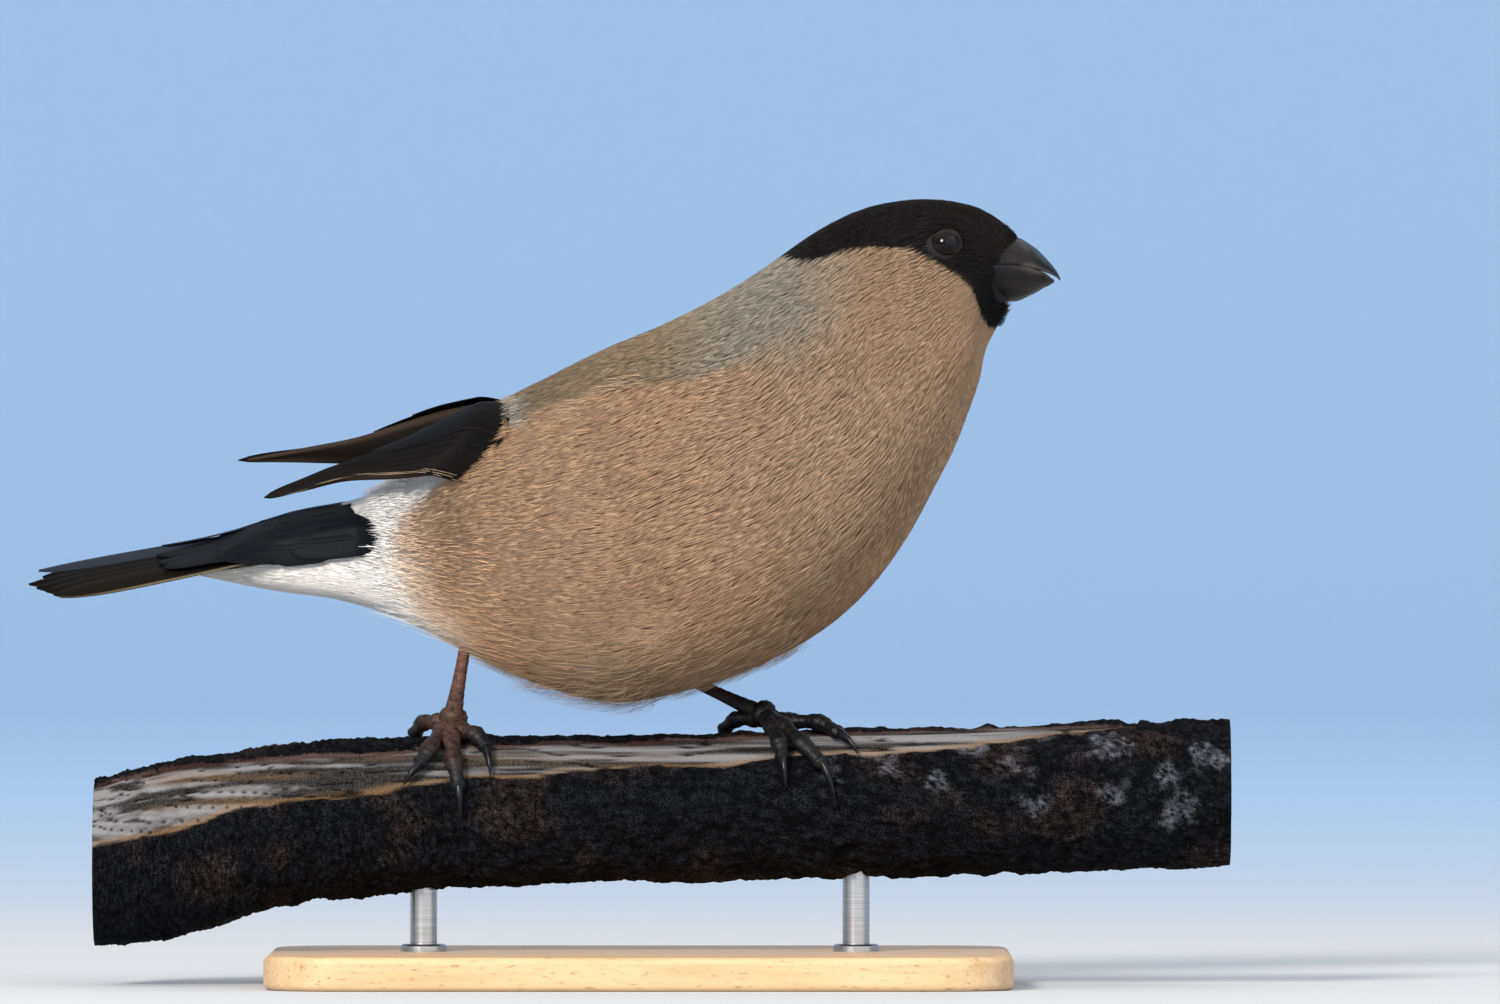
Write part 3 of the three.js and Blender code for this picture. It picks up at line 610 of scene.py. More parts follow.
def loose_barbs(seed, count, colour, *ranges):
    """Extra barbs spread evenly over ranges of place, turn, lean, length, width and height, each
    range given by its two ends."""
    random = np.random.default_rng(seed)
    place, turn, *spread = (random.uniform(min(ends), max(ends), count) for ends in ranges)
    corners = lay_barbs(over_body, place, turn, *spread[:3], np.full(count, -0.1), spread[3])
    colours = markings(corners[:, 0]) if colour is None else np.tile(tone(colour), (count, 1))
    colours = colours * random.normal(1, 0.08, count)[:, None]
    kept = ~near_eye(corners).any(1)
    return corners[kept], colours[kept], place[kept], turn[kept]


# Groups of extra barbs on each side: seed, number, colour if it isn't the body's, places, turns
# from the back, lean, whether that is mirrored, length, width and height.
LOOSE = [
    # Bristles over the nostrils and round the gape, and a tuft under the chin.
    (41, 900, "#0c0a0a", (-0.4, 0.9), (0.1, 1.75), (2.4, 3.9), False, (1.0, 1.9), (0.07, 0.11), (0.5, 1.2)),
    (44, 260, "#0c0a0a", (0.1, 1.0), (2.4, 3.14), (2.2, 2.9), True, (0.9, 1.9), (0.06, 0.09), (0.5, 1.6)),
    # Wisps on the belly, on the vent and at the back of the flanks.
    (47, 1500, None, (9.0, 13.6), (2.2, 3.14), (-0.3, 0.3), False, (3.5, 6.0), (0.09, 0.15), (1.0, 2.2)),
    (50, 170, None, (11.2, 12.9), (2.6, 3.14), (-0.5, 0.5), False, (4.5, 7.0), (0.08, 0.12), (2.2, 3.6)),
    (53, 500, None, (12.8, 15.0), (1.4, 3.0), (-0.3, 0.3), False, (4.5, 6.5), (0.1, 0.16), (1.0, 2.0)),
    # Pale flank barbs over the edge of the mantle.
    (56, 60, "#c0a482", (9.5, 10.9), (0.64, 0.76), (-0.1, -0.6), True, (3.0, 5.0), (0.08, 0.12), (1.2, 1.6)),
    # A soft fringe over the front edge of the wing, and one over the front of the tail coverts.
    (259, 200, None, (11.6, 12.1), (0.2, 0.5), (-0.15, 0.15), False, (2.0, 3.8), (0.06, 0.09), (1.5, 2.3)),
    (479, 420, None, (11.9, 12.4), (0.45, 0.68), (-0.15, 0.15), False, (2.0, 3.8), (0.06, 0.09), (1.5, 2.3)),
    (659, 600, None, (12.2, 12.95), (0.62, 0.95), (-0.15, 0.15), False, (2.0, 3.8), (0.06, 0.09), (1.5, 2.3)),
    (359, 300, None, (12.0, 12.8), (0.9, 1.4), (-0.15, 0.15), False, (2.0, 3.8), (0.06, 0.09), (1.5, 2.3)),
    (62, 800, None, (14.1, 14.85), (0.1, 1.5), (-0.35, 0.35), False, (2.0, 3.4), (0.08, 0.13), (1.3, 2.3))]
loose = []
for half in (-1, 1):
    for seed, count, colour, places, turns, lean, mirrored, *sizes in LOOSE:
        turns = [half * end for end in turns]
        lean = [half * end for end in lean] if mirrored else lean
        loose.append(loose_barbs(seed + half, count, colour, places, turns, lean, *sizes))
corners, colours, place, turn = (np.concatenate(parts) for parts in zip(*loose))
add_barbs("coat_loose", corners, colours, place, turn)

# The eyes
# Each eye is a wet near-black ball with a dark brown iris under a clear bulging cornea.

EYE_ROWS, EYE_SIDES = 56, 72
PUPIL_RADIUS = 1.15
CORNEA_RADIUS = 2.7
CORNEA_BULGE = 0.15


def eye_look(tree):
    """A wet cornea over a dark eye: one small sharp highlight on deep brown, from a smooth coat
    of tears."""
    tint = node(tree, "ShaderNodeAttribute", "Color", attribute_name="tint")
    return {"Base Color": tint, "Roughness": 0.3, "IOR": 1.05, "Coat Weight": 0.6,
            "Coat Roughness": 0.02, "Coat IOR": 1.36}


wet_eye = material("wet dark brown eye", eye_look)
for side, name in ((-1, "right"), (1, "left")):
    # The ball's outward pole bulges by a raised cosine inside the cornea's radius.
    lean = np.linspace(0.02, math.pi - 0.02, EYE_ROWS)[:, None]
    turn = full_turn(EYE_SIDES)[None, :]
    off_axis = np.where(lean < math.pi / 2, np.minimum(EYE_RADIUS * np.sin(lean) / CORNEA_RADIUS, 1), 1)
    radius = EYE_RADIUS - 0.04 + CORNEA_BULGE * 0.5 * (1 + np.cos(math.pi * off_axis))
    rings = np.stack([EYE[0] + radius * np.sin(lean) * np.cos(turn),
                      side * (EYE[1] + radius * np.cos(lean) + 0 * turn),
                      EYE[2] + radius * np.sin(lean) * np.sin(turn)], -1)
    iris = smoothstep(PUPIL_RADIUS - 0.1, PUPIL_RADIUS + 0.1, EYE_RADIUS * np.sin(lean) + 0 * turn)
    rays = 0.75 + 0.25 * np.cos(turn * 23 + 3 * np.cos(turn * 5)) + 0 * lean
    colours = layered(rings, tone("#040303"), (tone("#170f0b") * rays[..., None], iris))
    colours = np.concatenate([colours.reshape(-1, 3), [tone("#040303")] * 2])
    add_piece(f"eyeball_{name}", tube(rings), wet_eye, (f"eye_{name}",), colours)

# The bill
# Two halves of dark satin horn, growing from the face. The upper one is deep and domed, with a
# low keel along its top and a small hook over the lower one, and its edges are worn paler.

# x, height of the flat side, depth from there, half the width.
BILL_UPPER = [(52.0, 106.3, 3.6, 5.0), (54.0, 106.4, 4.1, 4.7), (56.0, 106.45, 4.05, 4.2),
              (58.5, 106.05, 3.0, 3.35), (60.4, 105.45, 1.7, 2.1), (61.6, 104.85, 0.9, 1.0),
              (62.2, 104.3, 0.4, 0.3)]
BILL_LOWER = [(50.8, 106.0, 4.6, 6.3), (53.0, 106.1, 5.2, 5.7), (55.5, 106.05, 5.2, 4.7),
              (58.0, 105.6, 3.8, 3.45), (59.9, 104.95, 2.0, 2.1), (61.3, 104.3, 0.3, 0.4)]
BILL_ROWS, BILL_SIDES = 80, 72


def blotched(tree, place, scale, dark):
    """The mesh's own colour times a cloudy noise, whose blotches are one over the scale wide in
    metres, from dark to white."""
    tint = node(tree, "ShaderNodeAttribute", "Color", attribute_name="tint")
    blotch = node(tree, "ShaderNodeTexNoise", "Fac",
                  {"Vector": place, "Scale": scale, "Detail": 4.0, "Roughness": 0.65})
    cloud = node(tree, "ShaderNodeValToRGB", "Color", {"Fac": blotch},
                 stops=[(0.32, dark), (0.68, "#ffffff")])
    return node(tree, "ShaderNodeMix", "Result", {"Factor": 1.0, "A": tint, "B": cloud},
                data_type="RGBA", blend_type="MULTIPLY")


def bill_look(tree):
    """Worn horn: a broad satin highlight over cloudy dark patches, and growth lines across the
    bill 0.3 mm apart."""
    place = node(tree, "ShaderNodeTexCoord", "Object")
    growth = node(tree, "ShaderNodeTexWave", "Fac",
                  {"Vector": place, "Scale": 1000.0, "Distortion": 3.0, "Detail": 2.0},
                  wave_type="BANDS", bands_direction="X")
    bump = node(tree, "ShaderNodeBump", "Normal", {"Height": growth, "Strength": 0.12, "Distance": 0.0001})
    return {"Base Color": blotched(tree, place, 600.0, "#8a8684"), "Normal": bump, "Roughness": 0.38,
            "IOR": 1.3}


horn = material("dark satin bill horn", bill_look)
for name, sections, deep_side in (("upper", BILL_UPPER, 1), ("lower", BILL_LOWER, -1)):
    # Half an ellipse over a flat side, carried along smooth curves through the sections.
    place = np.linspace(0, len(sections) - 1, BILL_ROWS)
    x, edge, deep, half_width = (value[:, None] for value in curve(sections, place).T)
    turn = full_turn(BILL_SIDES)[None, :]
    rise = np.cos(turn)
    keel = 0.12 * np.exp(-((1 - rise) / 0.015) ** 2) * smoothstep(0.3, 1.5, deep)
    lift = np.where(rise > 0, np.maximum(rise, 0) ** 0.88 * deep + keel, 0.1 * rise)
    places = np.stack([x + 0 * turn, 3 * np.sin(turn) + 0 * x, 3 * rise + 0 * x], -1)
    swell = 1 + 0.02 * lumps(places, 1.6, 2.0)
    y = np.maximum(half_width, 0.12) * np.sin(turn) * (1 - 0.05 * np.maximum(rise, 0)) * swell
    meets = 0.42 * smoothstep(61.4, 59.6, x) * (deep_side < 0)
    rings = np.stack([x + 0 * y, y, edge + meets + deep_side * lift * swell], -1)
    end = rings[-1].mean(0) + (0.06, 0, 0)
    # Dark horn with a painted highlight along the crown, bluish on the upper half, worn pale at the edges and
    # black at the base.
    worn = np.exp(-(rise / 0.12) ** 2) * smoothstep(54, 60, x)
    crown_highlight = smoothstep(0.3, 0.95, rise) * smoothstep(54, 57, x)
    base = smoothstep(55.6, 53.0, x + 0.5 * np.abs(rise))
    colours = layered(rings, tone("#191614"), (tone("#3c3f45" if deep_side > 0 else "#2a2623"), crown_highlight),
                      (tone("#6f675e"), 0.6 * worn), (tone("#0b0a0a"), base)).reshape(-1, 3)
    colours = np.concatenate([colours, colours[:1], colours[-1:]])
    add_piece(f"bill_{name}_horn", tube(rings, [rings[0].mean(0), end]), horn,
              (f"bill_{name}",), colours)

# The wings
# Each folded wing is a stack of overlapping flight feathers: long primaries with pale outer
# edges lowest, secondaries over them, and three broad tertials on top. Their roots lie under
# the plumage of the flank and back, which hides the front of the wing.

# Lower edge x, distance out, z; upper edge x, distance out, z; thickness; how far it bows out.
WING_RIGHT = np.array([
    (-15.5, 21.5, 76.4, -15.5, 5.5, 89.0, 2.2, 3.2), (-21.0, 19.7, 75.2, -21.5, 5.0, 86.3, 2.2, 2.4),
    (-27.4, 16.6, 74.8, -28.1, 3.8, 83.3, 2.0, 1.8), (-35.5, 12.8, 74.3, -35.5, 3.5, 80.0, 1.7, 1.2),
    (-43.7, 10.2, 74.2, -43.7, 5.2, 76.8, 1.3, 0.8), (-50.3, 8.0, 72.7, -50.3, 6.0, 74.0, 1.0, 0.4),
    (-55.2, 6.8, 71.7, -55.2, 6.3, 72.3, 0.6, 0.1)])
WING_LEFT = np.array([
    (-15.5, 21.5, 78.2, -15.5, 5.0, 89.2, 2.2, 3.0), (-21.0, 19.7, 77.2, -21.5, 4.5, 86.7, 2.2, 2.2),
    (-27.4, 16.4, 76.2, -29.6, 2.6, 85.0, 2.0, 1.7), (-35.5, 13.0, 76.4, -36.3, 2.4, 82.9, 1.7, 1.2),
    (-43.7, 10.2, 76.8, -42.2, 3.6, 81.0, 1.3, 0.8), (-50.3, 8.0, 77.0, -50.3, 5.4, 79.5, 1.0, 0.4),
    (-59.2, 6.6, 77.2, -59.2, 6.1, 77.8, 0.6, 0.1)])
# How far along each share of its height the wing comes out of the plumage.
WING_SHARES = [0, 0.1, 0.2, 0.35, 0.5, 1]
WING_SHOWS = [2.3, 2.05, 1.8, 1.45, 1.15, 0.8]
UNDER_PLUMAGE = -0.9  # height of the hidden front of the wing over the body's outline

# Samples of the body's outline, among which the nearest to a point is found.
body_places, body_turns = np.meshgrid(np.linspace(8, LAST_SECTION, 130), np.linspace(-math.pi, math.pi, 220))
BODY_SAMPLES, BODY_NORMALS, _, _ = with_normal(body_outline, body_places.ravel(), body_turns.ravel())
BODY_TREE = mathutils.kdtree.KDTree(len(BODY_SAMPLES))
for number, point in enumerate(BODY_SAMPLES):
    BODY_TREE.insert(point, number)
BODY_TREE.balance()


def tuck(points, place, share):
    """Draws points of a wing down onto the body in front of where the wing comes out: each one
    moves along the nearest normal of the body by the share it gives, all in front, none behind."""
    flat = points.reshape(-1, 3)
    nearest = np.array([BODY_TREE.find(point)[1] for point in flat])
    normal = BODY_NORMALS[nearest]
    clear = ((flat - BODY_SAMPLES[nearest]) * normal).sum(1)
    shows = np.interp(share, WING_SHARES, WING_SHOWS)
    hold = 1 - smoothstep(shows - 0.35, shows + 0.5, place) + np.zeros(points.shape[:-1])
    return points + (normal * ((UNDER_PLUMAGE - clear) * hold.ravel())[:, None]).reshape(points.shape)


def wing_ground(sections, side):
    """The outer face of one wing at a place from 0 at the shoulder to 6 at the tip, and a share
    from 0 at the lower edge to 1 at the upper one."""
    def face(place, share):
        """The face, from the lower edge straight to the upper one, bowed out as half a sine."""
        low_x, low_y, low_z, high_x, high_y, high_z, thick, bow = np.moveaxis(curve(sections, place), -1, 0)
        hump = np.sin(math.pi * np.clip(share, -0.1, 1.1))
        rise_y, rise_z = high_y - low_y, high_z - low_z
        length = np.maximum(np.hypot(rise_y, rise_z), 0.3)
        lift = bow * hump + thick / 2 * (0.35 + 0.65 * hump)
        x = low_x + (high_x - low_x) * share
        y = low_y + rise_y * share + lift * rise_z / length
        return np.stack([x, side * y, low_z + rise_z * share - lift * rise_y / length], -1)

    def ground(place, share, height):
        """A point at a height over the face, the outward normal and both derivatives."""
        point, normal, along, around = with_normal(face, place, share)
        normal = -side * normal
        return point + normal * height[..., None], normal, along, around

    return ground


def vane(spine, across, up, reach_low, reach_high, thick, arch):
    """A feather's vane as a thin closed sheet round its spine: arched across by a square law,
    with a raised shaft, and thinned to its edges. It returns the rings and each column's
    place across, from -1 to 1."""
    columns = np.array([-1, -0.93, -0.8, -0.5, -0.16, -0.05, 0, 0.05, 0.16, 0.5, 0.8, 0.93, 1])
    v = columns[None, :]
    offset = np.where(v < 0, v * reach_low[:, None], v * reach_high[:, None])[..., None]
    way = np.linspace(0, 1, len(spine))[:, None]
    shaft = 0.06 * (1 - 0.8 * way) * np.exp(-(v / 0.06) ** 2)
    bend = arch * (1 - v ** 2)
    half = thick / 2 * (1 - 0.75 * v ** 6)
    middle = spine[:, None] + across[:, None] * offset
    top = middle + up[:, None] * (bend + shaft + half)[..., None]
    under = middle + up[:, None] * (bend - half)[..., None]
    return np.concatenate([top, under[:, ::-1]], 1), np.concatenate([columns, columns[::-1]])


def vane_colours(rows, columns, blade, rim, rim_side, rim_width):
    """A vane's colours, paler in a rim along one edge: rim_side is -1, 1, or 0 for both."""
    way = np.linspace(0, 1, rows)[:, None]
    near = np.abs(columns) if rim_side == 0 else columns * rim_side
    share = smoothstep(1 - rim_width - 0.05, 1 - rim_width + 0.05, near[None, :]) * smoothstep(0.0, 0.2, way)
    share = share * (1 - 0.7 * smoothstep(0.6, 1.0, way))
    colours = blend(tone(blade) * (0.9 + 0.2 * way)[..., None], tone(rim), share)
    return np.concatenate([colours.reshape(-1, 3), colours[0, :1], colours[-1, :1]])


def vane_look(tree, roughness, slant_turn, direction):
    """Black feather: a satin sheen broken by fine slanting barb lines. Real barbs stand 0.05 mm
    apart, too fine to show, so the lines are drawn 0.25 mm apart."""
    tint = node(tree, "ShaderNodeAttribute", "Color", attribute_name="tint")
    place = node(tree, "ShaderNodeTexCoord", "Object")
    slant = node(tree, "ShaderNodeMapping", "Vector", {"Vector": place, "Rotation": slant_turn})
    lines = node(tree, "ShaderNodeTexWave", "Fac",
                 {"Vector": slant, "Scale": 1250.0, "Distortion": 2.0, "Detail": 2.0},
                 wave_type="BANDS", bands_direction=direction)
    bump = node(tree, "ShaderNodeBump", "Normal", {"Height": lines, "Strength": 0.1, "Distance": 0.0001})
    return {"Base Color": tint, "Normal": bump, "Roughness": roughness, "IOR": 1.12}


flight = material("black flight feather", vane_look, roughness=0.55,
                  slant_turn=(0.0, 0.6, 0.0), direction="Z")

PRIMARIES, SECONDARIES, TERTIALS = 8, 6, 3
VANE_ROWS = 30
CORE_ROWS, CORE_COLUMNS = 40, 14
CORE_LEAST = 0.4
# The colours of the upper blades, the primaries' blades and their pale edges.
WING_TONES = {"right": ("#0a090a", "#0f0c0c", "#b5a184"), "left": ("#0d0b0b", "#14100e", "#b5a184")}
for side_name, side, sections in (("right", -1, WING_RIGHT), ("left", 1, WING_LEFT)):
    random = np.random.default_rng(60 + side)
    ground = wing_ground(sections, side)
    black, brown, pale = WING_TONES[side_name]
    # Each feather: first and last place, first and last share, half width, height, how blunt
    # its tip is, blade colour, rim colour, rim side, rim width, arch.
    feathers = []
    for k in range(PRIMARIES):
        feathers.append((0.6, 6.05 - 0.30 * k, 0.0 + 0.022 * k, 0.45 - 0.02 * k, 1.25 + 0.10 * k,
                         0.06 * k, 7, brown, pale if k in (1, 3, 6) else brown, -1, 0.02, 0.10))
    for k in range(SECONDARIES):
        feathers.append((0.3, 3.95 - 0.26 * k, 0.30 + 0.055 * k, 0.42 + 0.07 * k, 2.2, 0.48 + 0.05 * k,
                         8, black, "#1b191b", -1, 0.04, 0.12))
    for k in range(TERTIALS):
        feathers.append((0.1, 3.5 - 0.45 * k, 0.60 + 0.12 * k, 0.64 + 0.12 * k, 2.7 - 0.4 * k,
                         0.70 + 0.08 * k, 6, black, "#1e1c1f", 0, 0.03, 0.18))
    surfaces, tints = [], []
    for first, last, low, high, half_width, height, tip, blade, rim, rim_side, rim_width, arch in feathers:
        way = np.linspace(0, 1, VANE_ROWS)
        place = first + (last - first) * way
        share = low + (high - low) * way
        point, normal, _, around = ground(place, share, 0 * way)
        spine = point + normal * (height * (1 - 0.45 * way))[:, None]
        across = around / np.linalg.norm(around, axis=-1, keepdims=True)
        blunt = np.maximum(np.clip(1 - way ** tip, 0, 1) ** 0.55, 0.04)
        wide = half_width * blunt
        notch = 1 + 0.02 * np.sin(way * 31 + random.uniform(0, 6))
        rings, columns = vane(spine, across, normal, wide * notch, wide, 0.2, arch)
        spread = wide[:, None] * columns / np.linalg.norm(around, axis=-1)[:, None]
        surfaces.append(tube(tuck(rings, place[:, None], share[:, None] + spread)))
        tints.append(vane_colours(VANE_ROWS, columns, blade, rim, rim_side, rim_width))
    # Under the feathers lies the wing's own thin body, drawn in from every edge.
    place = np.linspace(0.3, 5.9, CORE_ROWS)[:, None] + np.zeros((1, CORE_COLUMNS))
    share = np.linspace(0.10, 0.92, CORE_COLUMNS)[None, :] + np.zeros((CORE_ROWS, 1))
    thick = curve(sections[:, 6:7], place)[..., 0] * 0.7
    outer = tuck(ground(place, share, 0 * place - 0.1)[0], place, share)
    inner = tuck(ground(place, share, -0.1 - thick)[0], place, share)
    too_thin = np.linalg.norm(outer - inner, axis=-1) < CORE_LEAST
    inner = inner + np.where(too_thin, -CORE_LEAST * side, 0)[..., None] * [0, 1, 0]
    surfaces.append(tube(np.concatenate([outer, inner[:, ::-1]], 1)))
    # The core is warm brown like the far wing, and made paler than the feathers as painted light where the
    # near wing shades it.
    tints.append(np.tile(tone("#2e2620"), (len(surfaces[-1][0]), 1)))
    add_piece(f"wing_feathers_{side_name}", join(surfaces), flight,
              (f"wing_{side_name}",), np.concatenate(tints))

# The tail
# Twelve long black feathers, stacked to a low roof with the middle pair on top: that pair's blue gloss is
# painted into its colour, and the feathers under it are painted darker as shade. Under the tail the end of
# the body shows white, and over its root lie rows of black coverts.

TAIL_ROOT = {"x": -42.0, "ridge": 69.7, "half_width": 5.2}
TAIL_TIP = {"x": -88.9, "ridge": 61.8, "half_width": 11.0}
TAIL_SPREAD = 0.7  # the power of the way by which the tail widens
TAIL_SLOPE = 0.43  # of the roof's sides
TAIL_ROWS = 36
# Where the first shaft lies as a share of half the width, and how much further out each next.
TAIL_FIRST, TAIL_NEXT = 0.10, 0.135
# How much further or less far than the roof's tip each feather reaches, from the middle out.
TAIL_REACH = {-1: [0.0, -0.6, 1.4, 0.2, -1.2, -2.4], 1: [-4.5, -3.2, -0.4, -0.8, -1.6, -2.8]}
# Blade and rim colours, from the middle out: the middle pair's bluish blade is painted sheen, and the
# near-black blades under it are painted shade.
TAIL_SHEEN_AND_SHADE_TONES = [("#1d232c", "#232a33"), ("#060606", "#0a0a0b"), ("#070606", "#7d6a48"),
              ("#080706", "#15120e"), ("#0a0807", "#7b6a49"), ("#0e0c09", "#5d5340")]

# The tail is a little glossier than the wings.
tail_gloss = material("blue-black tail feather", vane_look, roughness=0.45,
                      slant_turn=(0.0, 0.0, 0.55), direction="Y")


def tail_measure(name, share):
    """A measure of the tail's roof, on a straight line from its root's to its tip's."""
    return TAIL_ROOT[name] + (TAIL_TIP[name] - TAIL_ROOT[name]) * share


surfaces, tints = [], []
for k in range(5, -1, -1):
    for side in (-1, 1):
        share = TAIL_FIRST + TAIL_NEXT * k
        way = np.linspace(0, 1, TAIL_ROWS)
        run = way * (1 + TAIL_REACH[side][k] / (TAIL_ROOT["x"] - TAIL_TIP["x"]))
        half_width = tail_measure("half_width", run ** TAIL_SPREAD)
        out = share * half_width
        slope = TAIL_SLOPE + 0.4 * (k > 0)
        drop = TAIL_SLOPE * out + 0.08 + 0.1 * k + 0.06 * (side > 0) + 0.25 * (k > 0)
        spine = np.stack([tail_measure("x", run), side * out, tail_measure("ridge", run) - drop], -1)
        steep = math.hypot(1, slope)
        across = np.tile([0, 1 / steep, -side * slope / steep], (TAIL_ROWS, 1))
        up = np.tile([0, side * slope / steep, 1 / steep], (TAIL_ROWS, 1))
        blunt = np.maximum(np.clip(1 - way ** (7 if k in (0, 2) else 10), 0, 1) ** 0.6, 0.05)
        inner = np.minimum((1.9 if k == 0 else 1.0) + 0.7 * way, out + 0.6) * blunt
        outer = np.minimum(1.5 + 1.0 * way, half_width - out + 0.3) * blunt
        reach_low, reach_high = (outer, inner) if side < 0 else (inner, outer)
        rings, columns = vane(spine, across, up, reach_low, reach_high, 0.24, 0.15)
        surfaces.append(tube(rings))
        tints.append(vane_colours(TAIL_ROWS, columns, *TAIL_SHEEN_AND_SHADE_TONES[k], side, 0.05 if k < 5 else 0.15))
add_piece("tail_fan", join(surfaces), tail_gloss, ("tail",), np.concatenate(tints))

# The coverts' surface: x, height of its top, height of its lower edge, half its width.
COVERT_GROUND = np.array([(-36.0, 73.6, 65.4, 10.6), (-43.0, 71.5, 64.2, 9.0), (-51.0, 70.0, 63.0, 7.5),
                          (-55.0, 68.9, 62.3, 7.2), (-60.6, 67.25, 61.6, 7.6), (-66.2, 65.95, 61.2, 8.0),
                          (-74.0, 64.6, 60.2, 8.4)])


def covert_outline(place, turn):
    """The surface the coverts lie on: half an ellipse over the end of the body, which turns
    into the tail's roof behind it."""
    x, top, low, half_width = np.moveaxis(curve(COVERT_GROUND, place), -1, 0)
    y = half_width * np.sin(turn)
    dome = low + (top - low) * np.cos(turn)
    roof = top - TAIL_SLOPE * np.abs(y)
    return np.stack([x, y, dome + (roof - dome) * smoothstep(2.0, 5.0, place)], -1)


# Rows of coverts, each: place of the root, place of the tip, number across, spread in radians.
COVERT_ROWS = [(0.3, 2.2, 9, 1.42), (1.0, 3.2, 9, 1.45), (2.1, 4.4, 8, 1.40), (3.2, 5.6, 7, 1.20)]
COVERT_STEPS = 24
random = np.random.default_rng(71)
surfaces, tints = [], []
for row_number, (first, last, number, spread) in enumerate(COVERT_ROWS):
    for k in range(number):
        way = np.linspace(0, 1, COVERT_STEPS)
        middle_turn = (2 * k / (number - 1) - 1) * spread
        late = 0.6 * (1 - min(abs(middle_turn), 1.2) / 1.2) * (row_number == 0)
        place = first + late + (last - first - late) * way + random.uniform(-0.1, 0.1)
        turn = middle_turn * (1 - 0.06 * way)
        point, normal, _, around = with_normal(covert_outline, place, turn + 0 * way)
        sunk = 1.3 * smoothstep(0.34, 0.06, way) * (row_number == 0)
        point = point + normal * (0.02 - 0.08 * row_number - sunk)[:, None]
        across = around / np.linalg.norm(around, axis=-1, keepdims=True)
        wide = (2.3 - 0.15 * row_number) * np.maximum(np.clip(1 - way ** 5, 0, 1) ** 0.5, 0.05)
        wide = wide * (0.3 + 0.7 * smoothstep(0, 0.3, way))
        rings, columns = vane(point, across, normal, wide, wide, 0.16, 0.12)
        surfaces.append(tube(rings))
        tints.append(vane_colours(COVERT_STEPS, columns, "#0b0e12", "#12161b", 0, 0.05))
add_piece("tail_coverts", join(surfaces[::-1]), tail_gloss, (), np.concatenate(tints[::-1]))

# The branch
# A cut length of dead branch: rough dark bark crusted with lichen, and along its top a strip
# where the bark has gone and the wood has weathered grey. Both ends are sawn square.

# The branch's line: x, height of its middle, radius.
PERCH = [(-80.7, 18.1, 12.4), (-68.0, 20.3, 13.3), (-50.0, 23.9, 11.8), (-28.0, 25.5, 11.5),
         (9.0, 26.4, 10.9), (53.0, 27.5, 11.0), (87.3, 28.4, 11.0)]
PERCH_RADIUS = 11
BARK_THICKNESS = 0.35
# The bare strip: x, and where it starts and ends in degrees from the top towards the right.
BARE = np.array([(-81, 20, 80), (-50, 28, 71), (-20, 27, 66), (9, 14, 52), (38, 8, 46), (53, 5, 38),
                 (68, 8, 24), (74, 14, 14), (90, 14, 14)], float)

rows, columns = 480, 196
place = np.linspace(0, len(PERCH) - 1, rows)
x, z, radius = curve(PERCH, place).T
turn = full_turn(columns)
out = np.stack([0 * turn, -np.sin(turn), np.cos(turn)], -1)
smooth_points = np.stack([x, 0 * x, z], -1)[:, None] + out[None] * radius[:, None, None]
x_along = x[:, None] + 0 * turn
degrees = np.degrees((turn + math.pi) % (2 * math.pi) - math.pi)[None, :] + 0 * x_along
wander = 4 * lumps(smooth_points * [0.4, 1, 1], 5.0, 1.0, 3)
bare_from = np.interp(x_along, BARE[:, 0], BARE[:, 1])
bare_to = np.interp(x_along, BARE[:, 0], BARE[:, 2])
bare = smoothstep(-1, 1, degrees + wander - bare_from) * smoothstep(-1, 1, bare_to - degrees - wander)
# Bark is pimpled at about every seventh point, crusted in coarser lumps, and pitted. Bare wood
# lies a bark's thickness lower, with a fine grain and open cracks along it.
random = np.random.default_rng(80)
pimple = np.where(random.uniform(0, 1, (rows, columns)) > 0.86, random.uniform(0.4, 1, (rows, columns)), 0)
near = [np.roll(pimple, step, axis) for axis in (0, 1) for step in (-1, 1)]
pimple = np.maximum(pimple, 0.55 * np.max(near, axis=0))
crust = 0.30 * lumps(smooth_points, 3.2, 2.0, 3) + 0.22 * lumps(smooth_points, 9.0, 3.0) + 0.26 * pimple
pits = -0.5 * smoothstep(0.55, 0.85, lumps(smooth_points, 2.6, 5.0, 2))
crack = smoothstep(0.16, 0.0, np.abs(lumps(smooth_points * [0.07, 1, 1], 1.5, 6.0, 2)))
grain = 0.10 * lumps(smooth_points * [0.06, 1, 1], 0.9, 7.0, 2) - 0.25 * crack
relief = (1 - bare) * (crust + pits - 0.15) + bare * (grain - BARK_THICKNESS)
rings = smooth_points + out[None] * relief[..., None]
# Each sawn end is a set of rings drawn in to its middle.
shares = np.linspace(1, 0.06, 16)[1:]
ends = []
for end in (0, -1):
    middle = rings[end].mean(0)
    disc = middle + (rings[end][None] - middle) * shares[:, None, None]
    disc[..., 0] = x[end] + 0.05 * lumps(disc * [0, 1, 1], 0.8, 8.0)
    ends.append(disc)
all_rings = np.concatenate([ends[0][::-1], rings, ends[1]])
branch_surface = tube(all_rings)

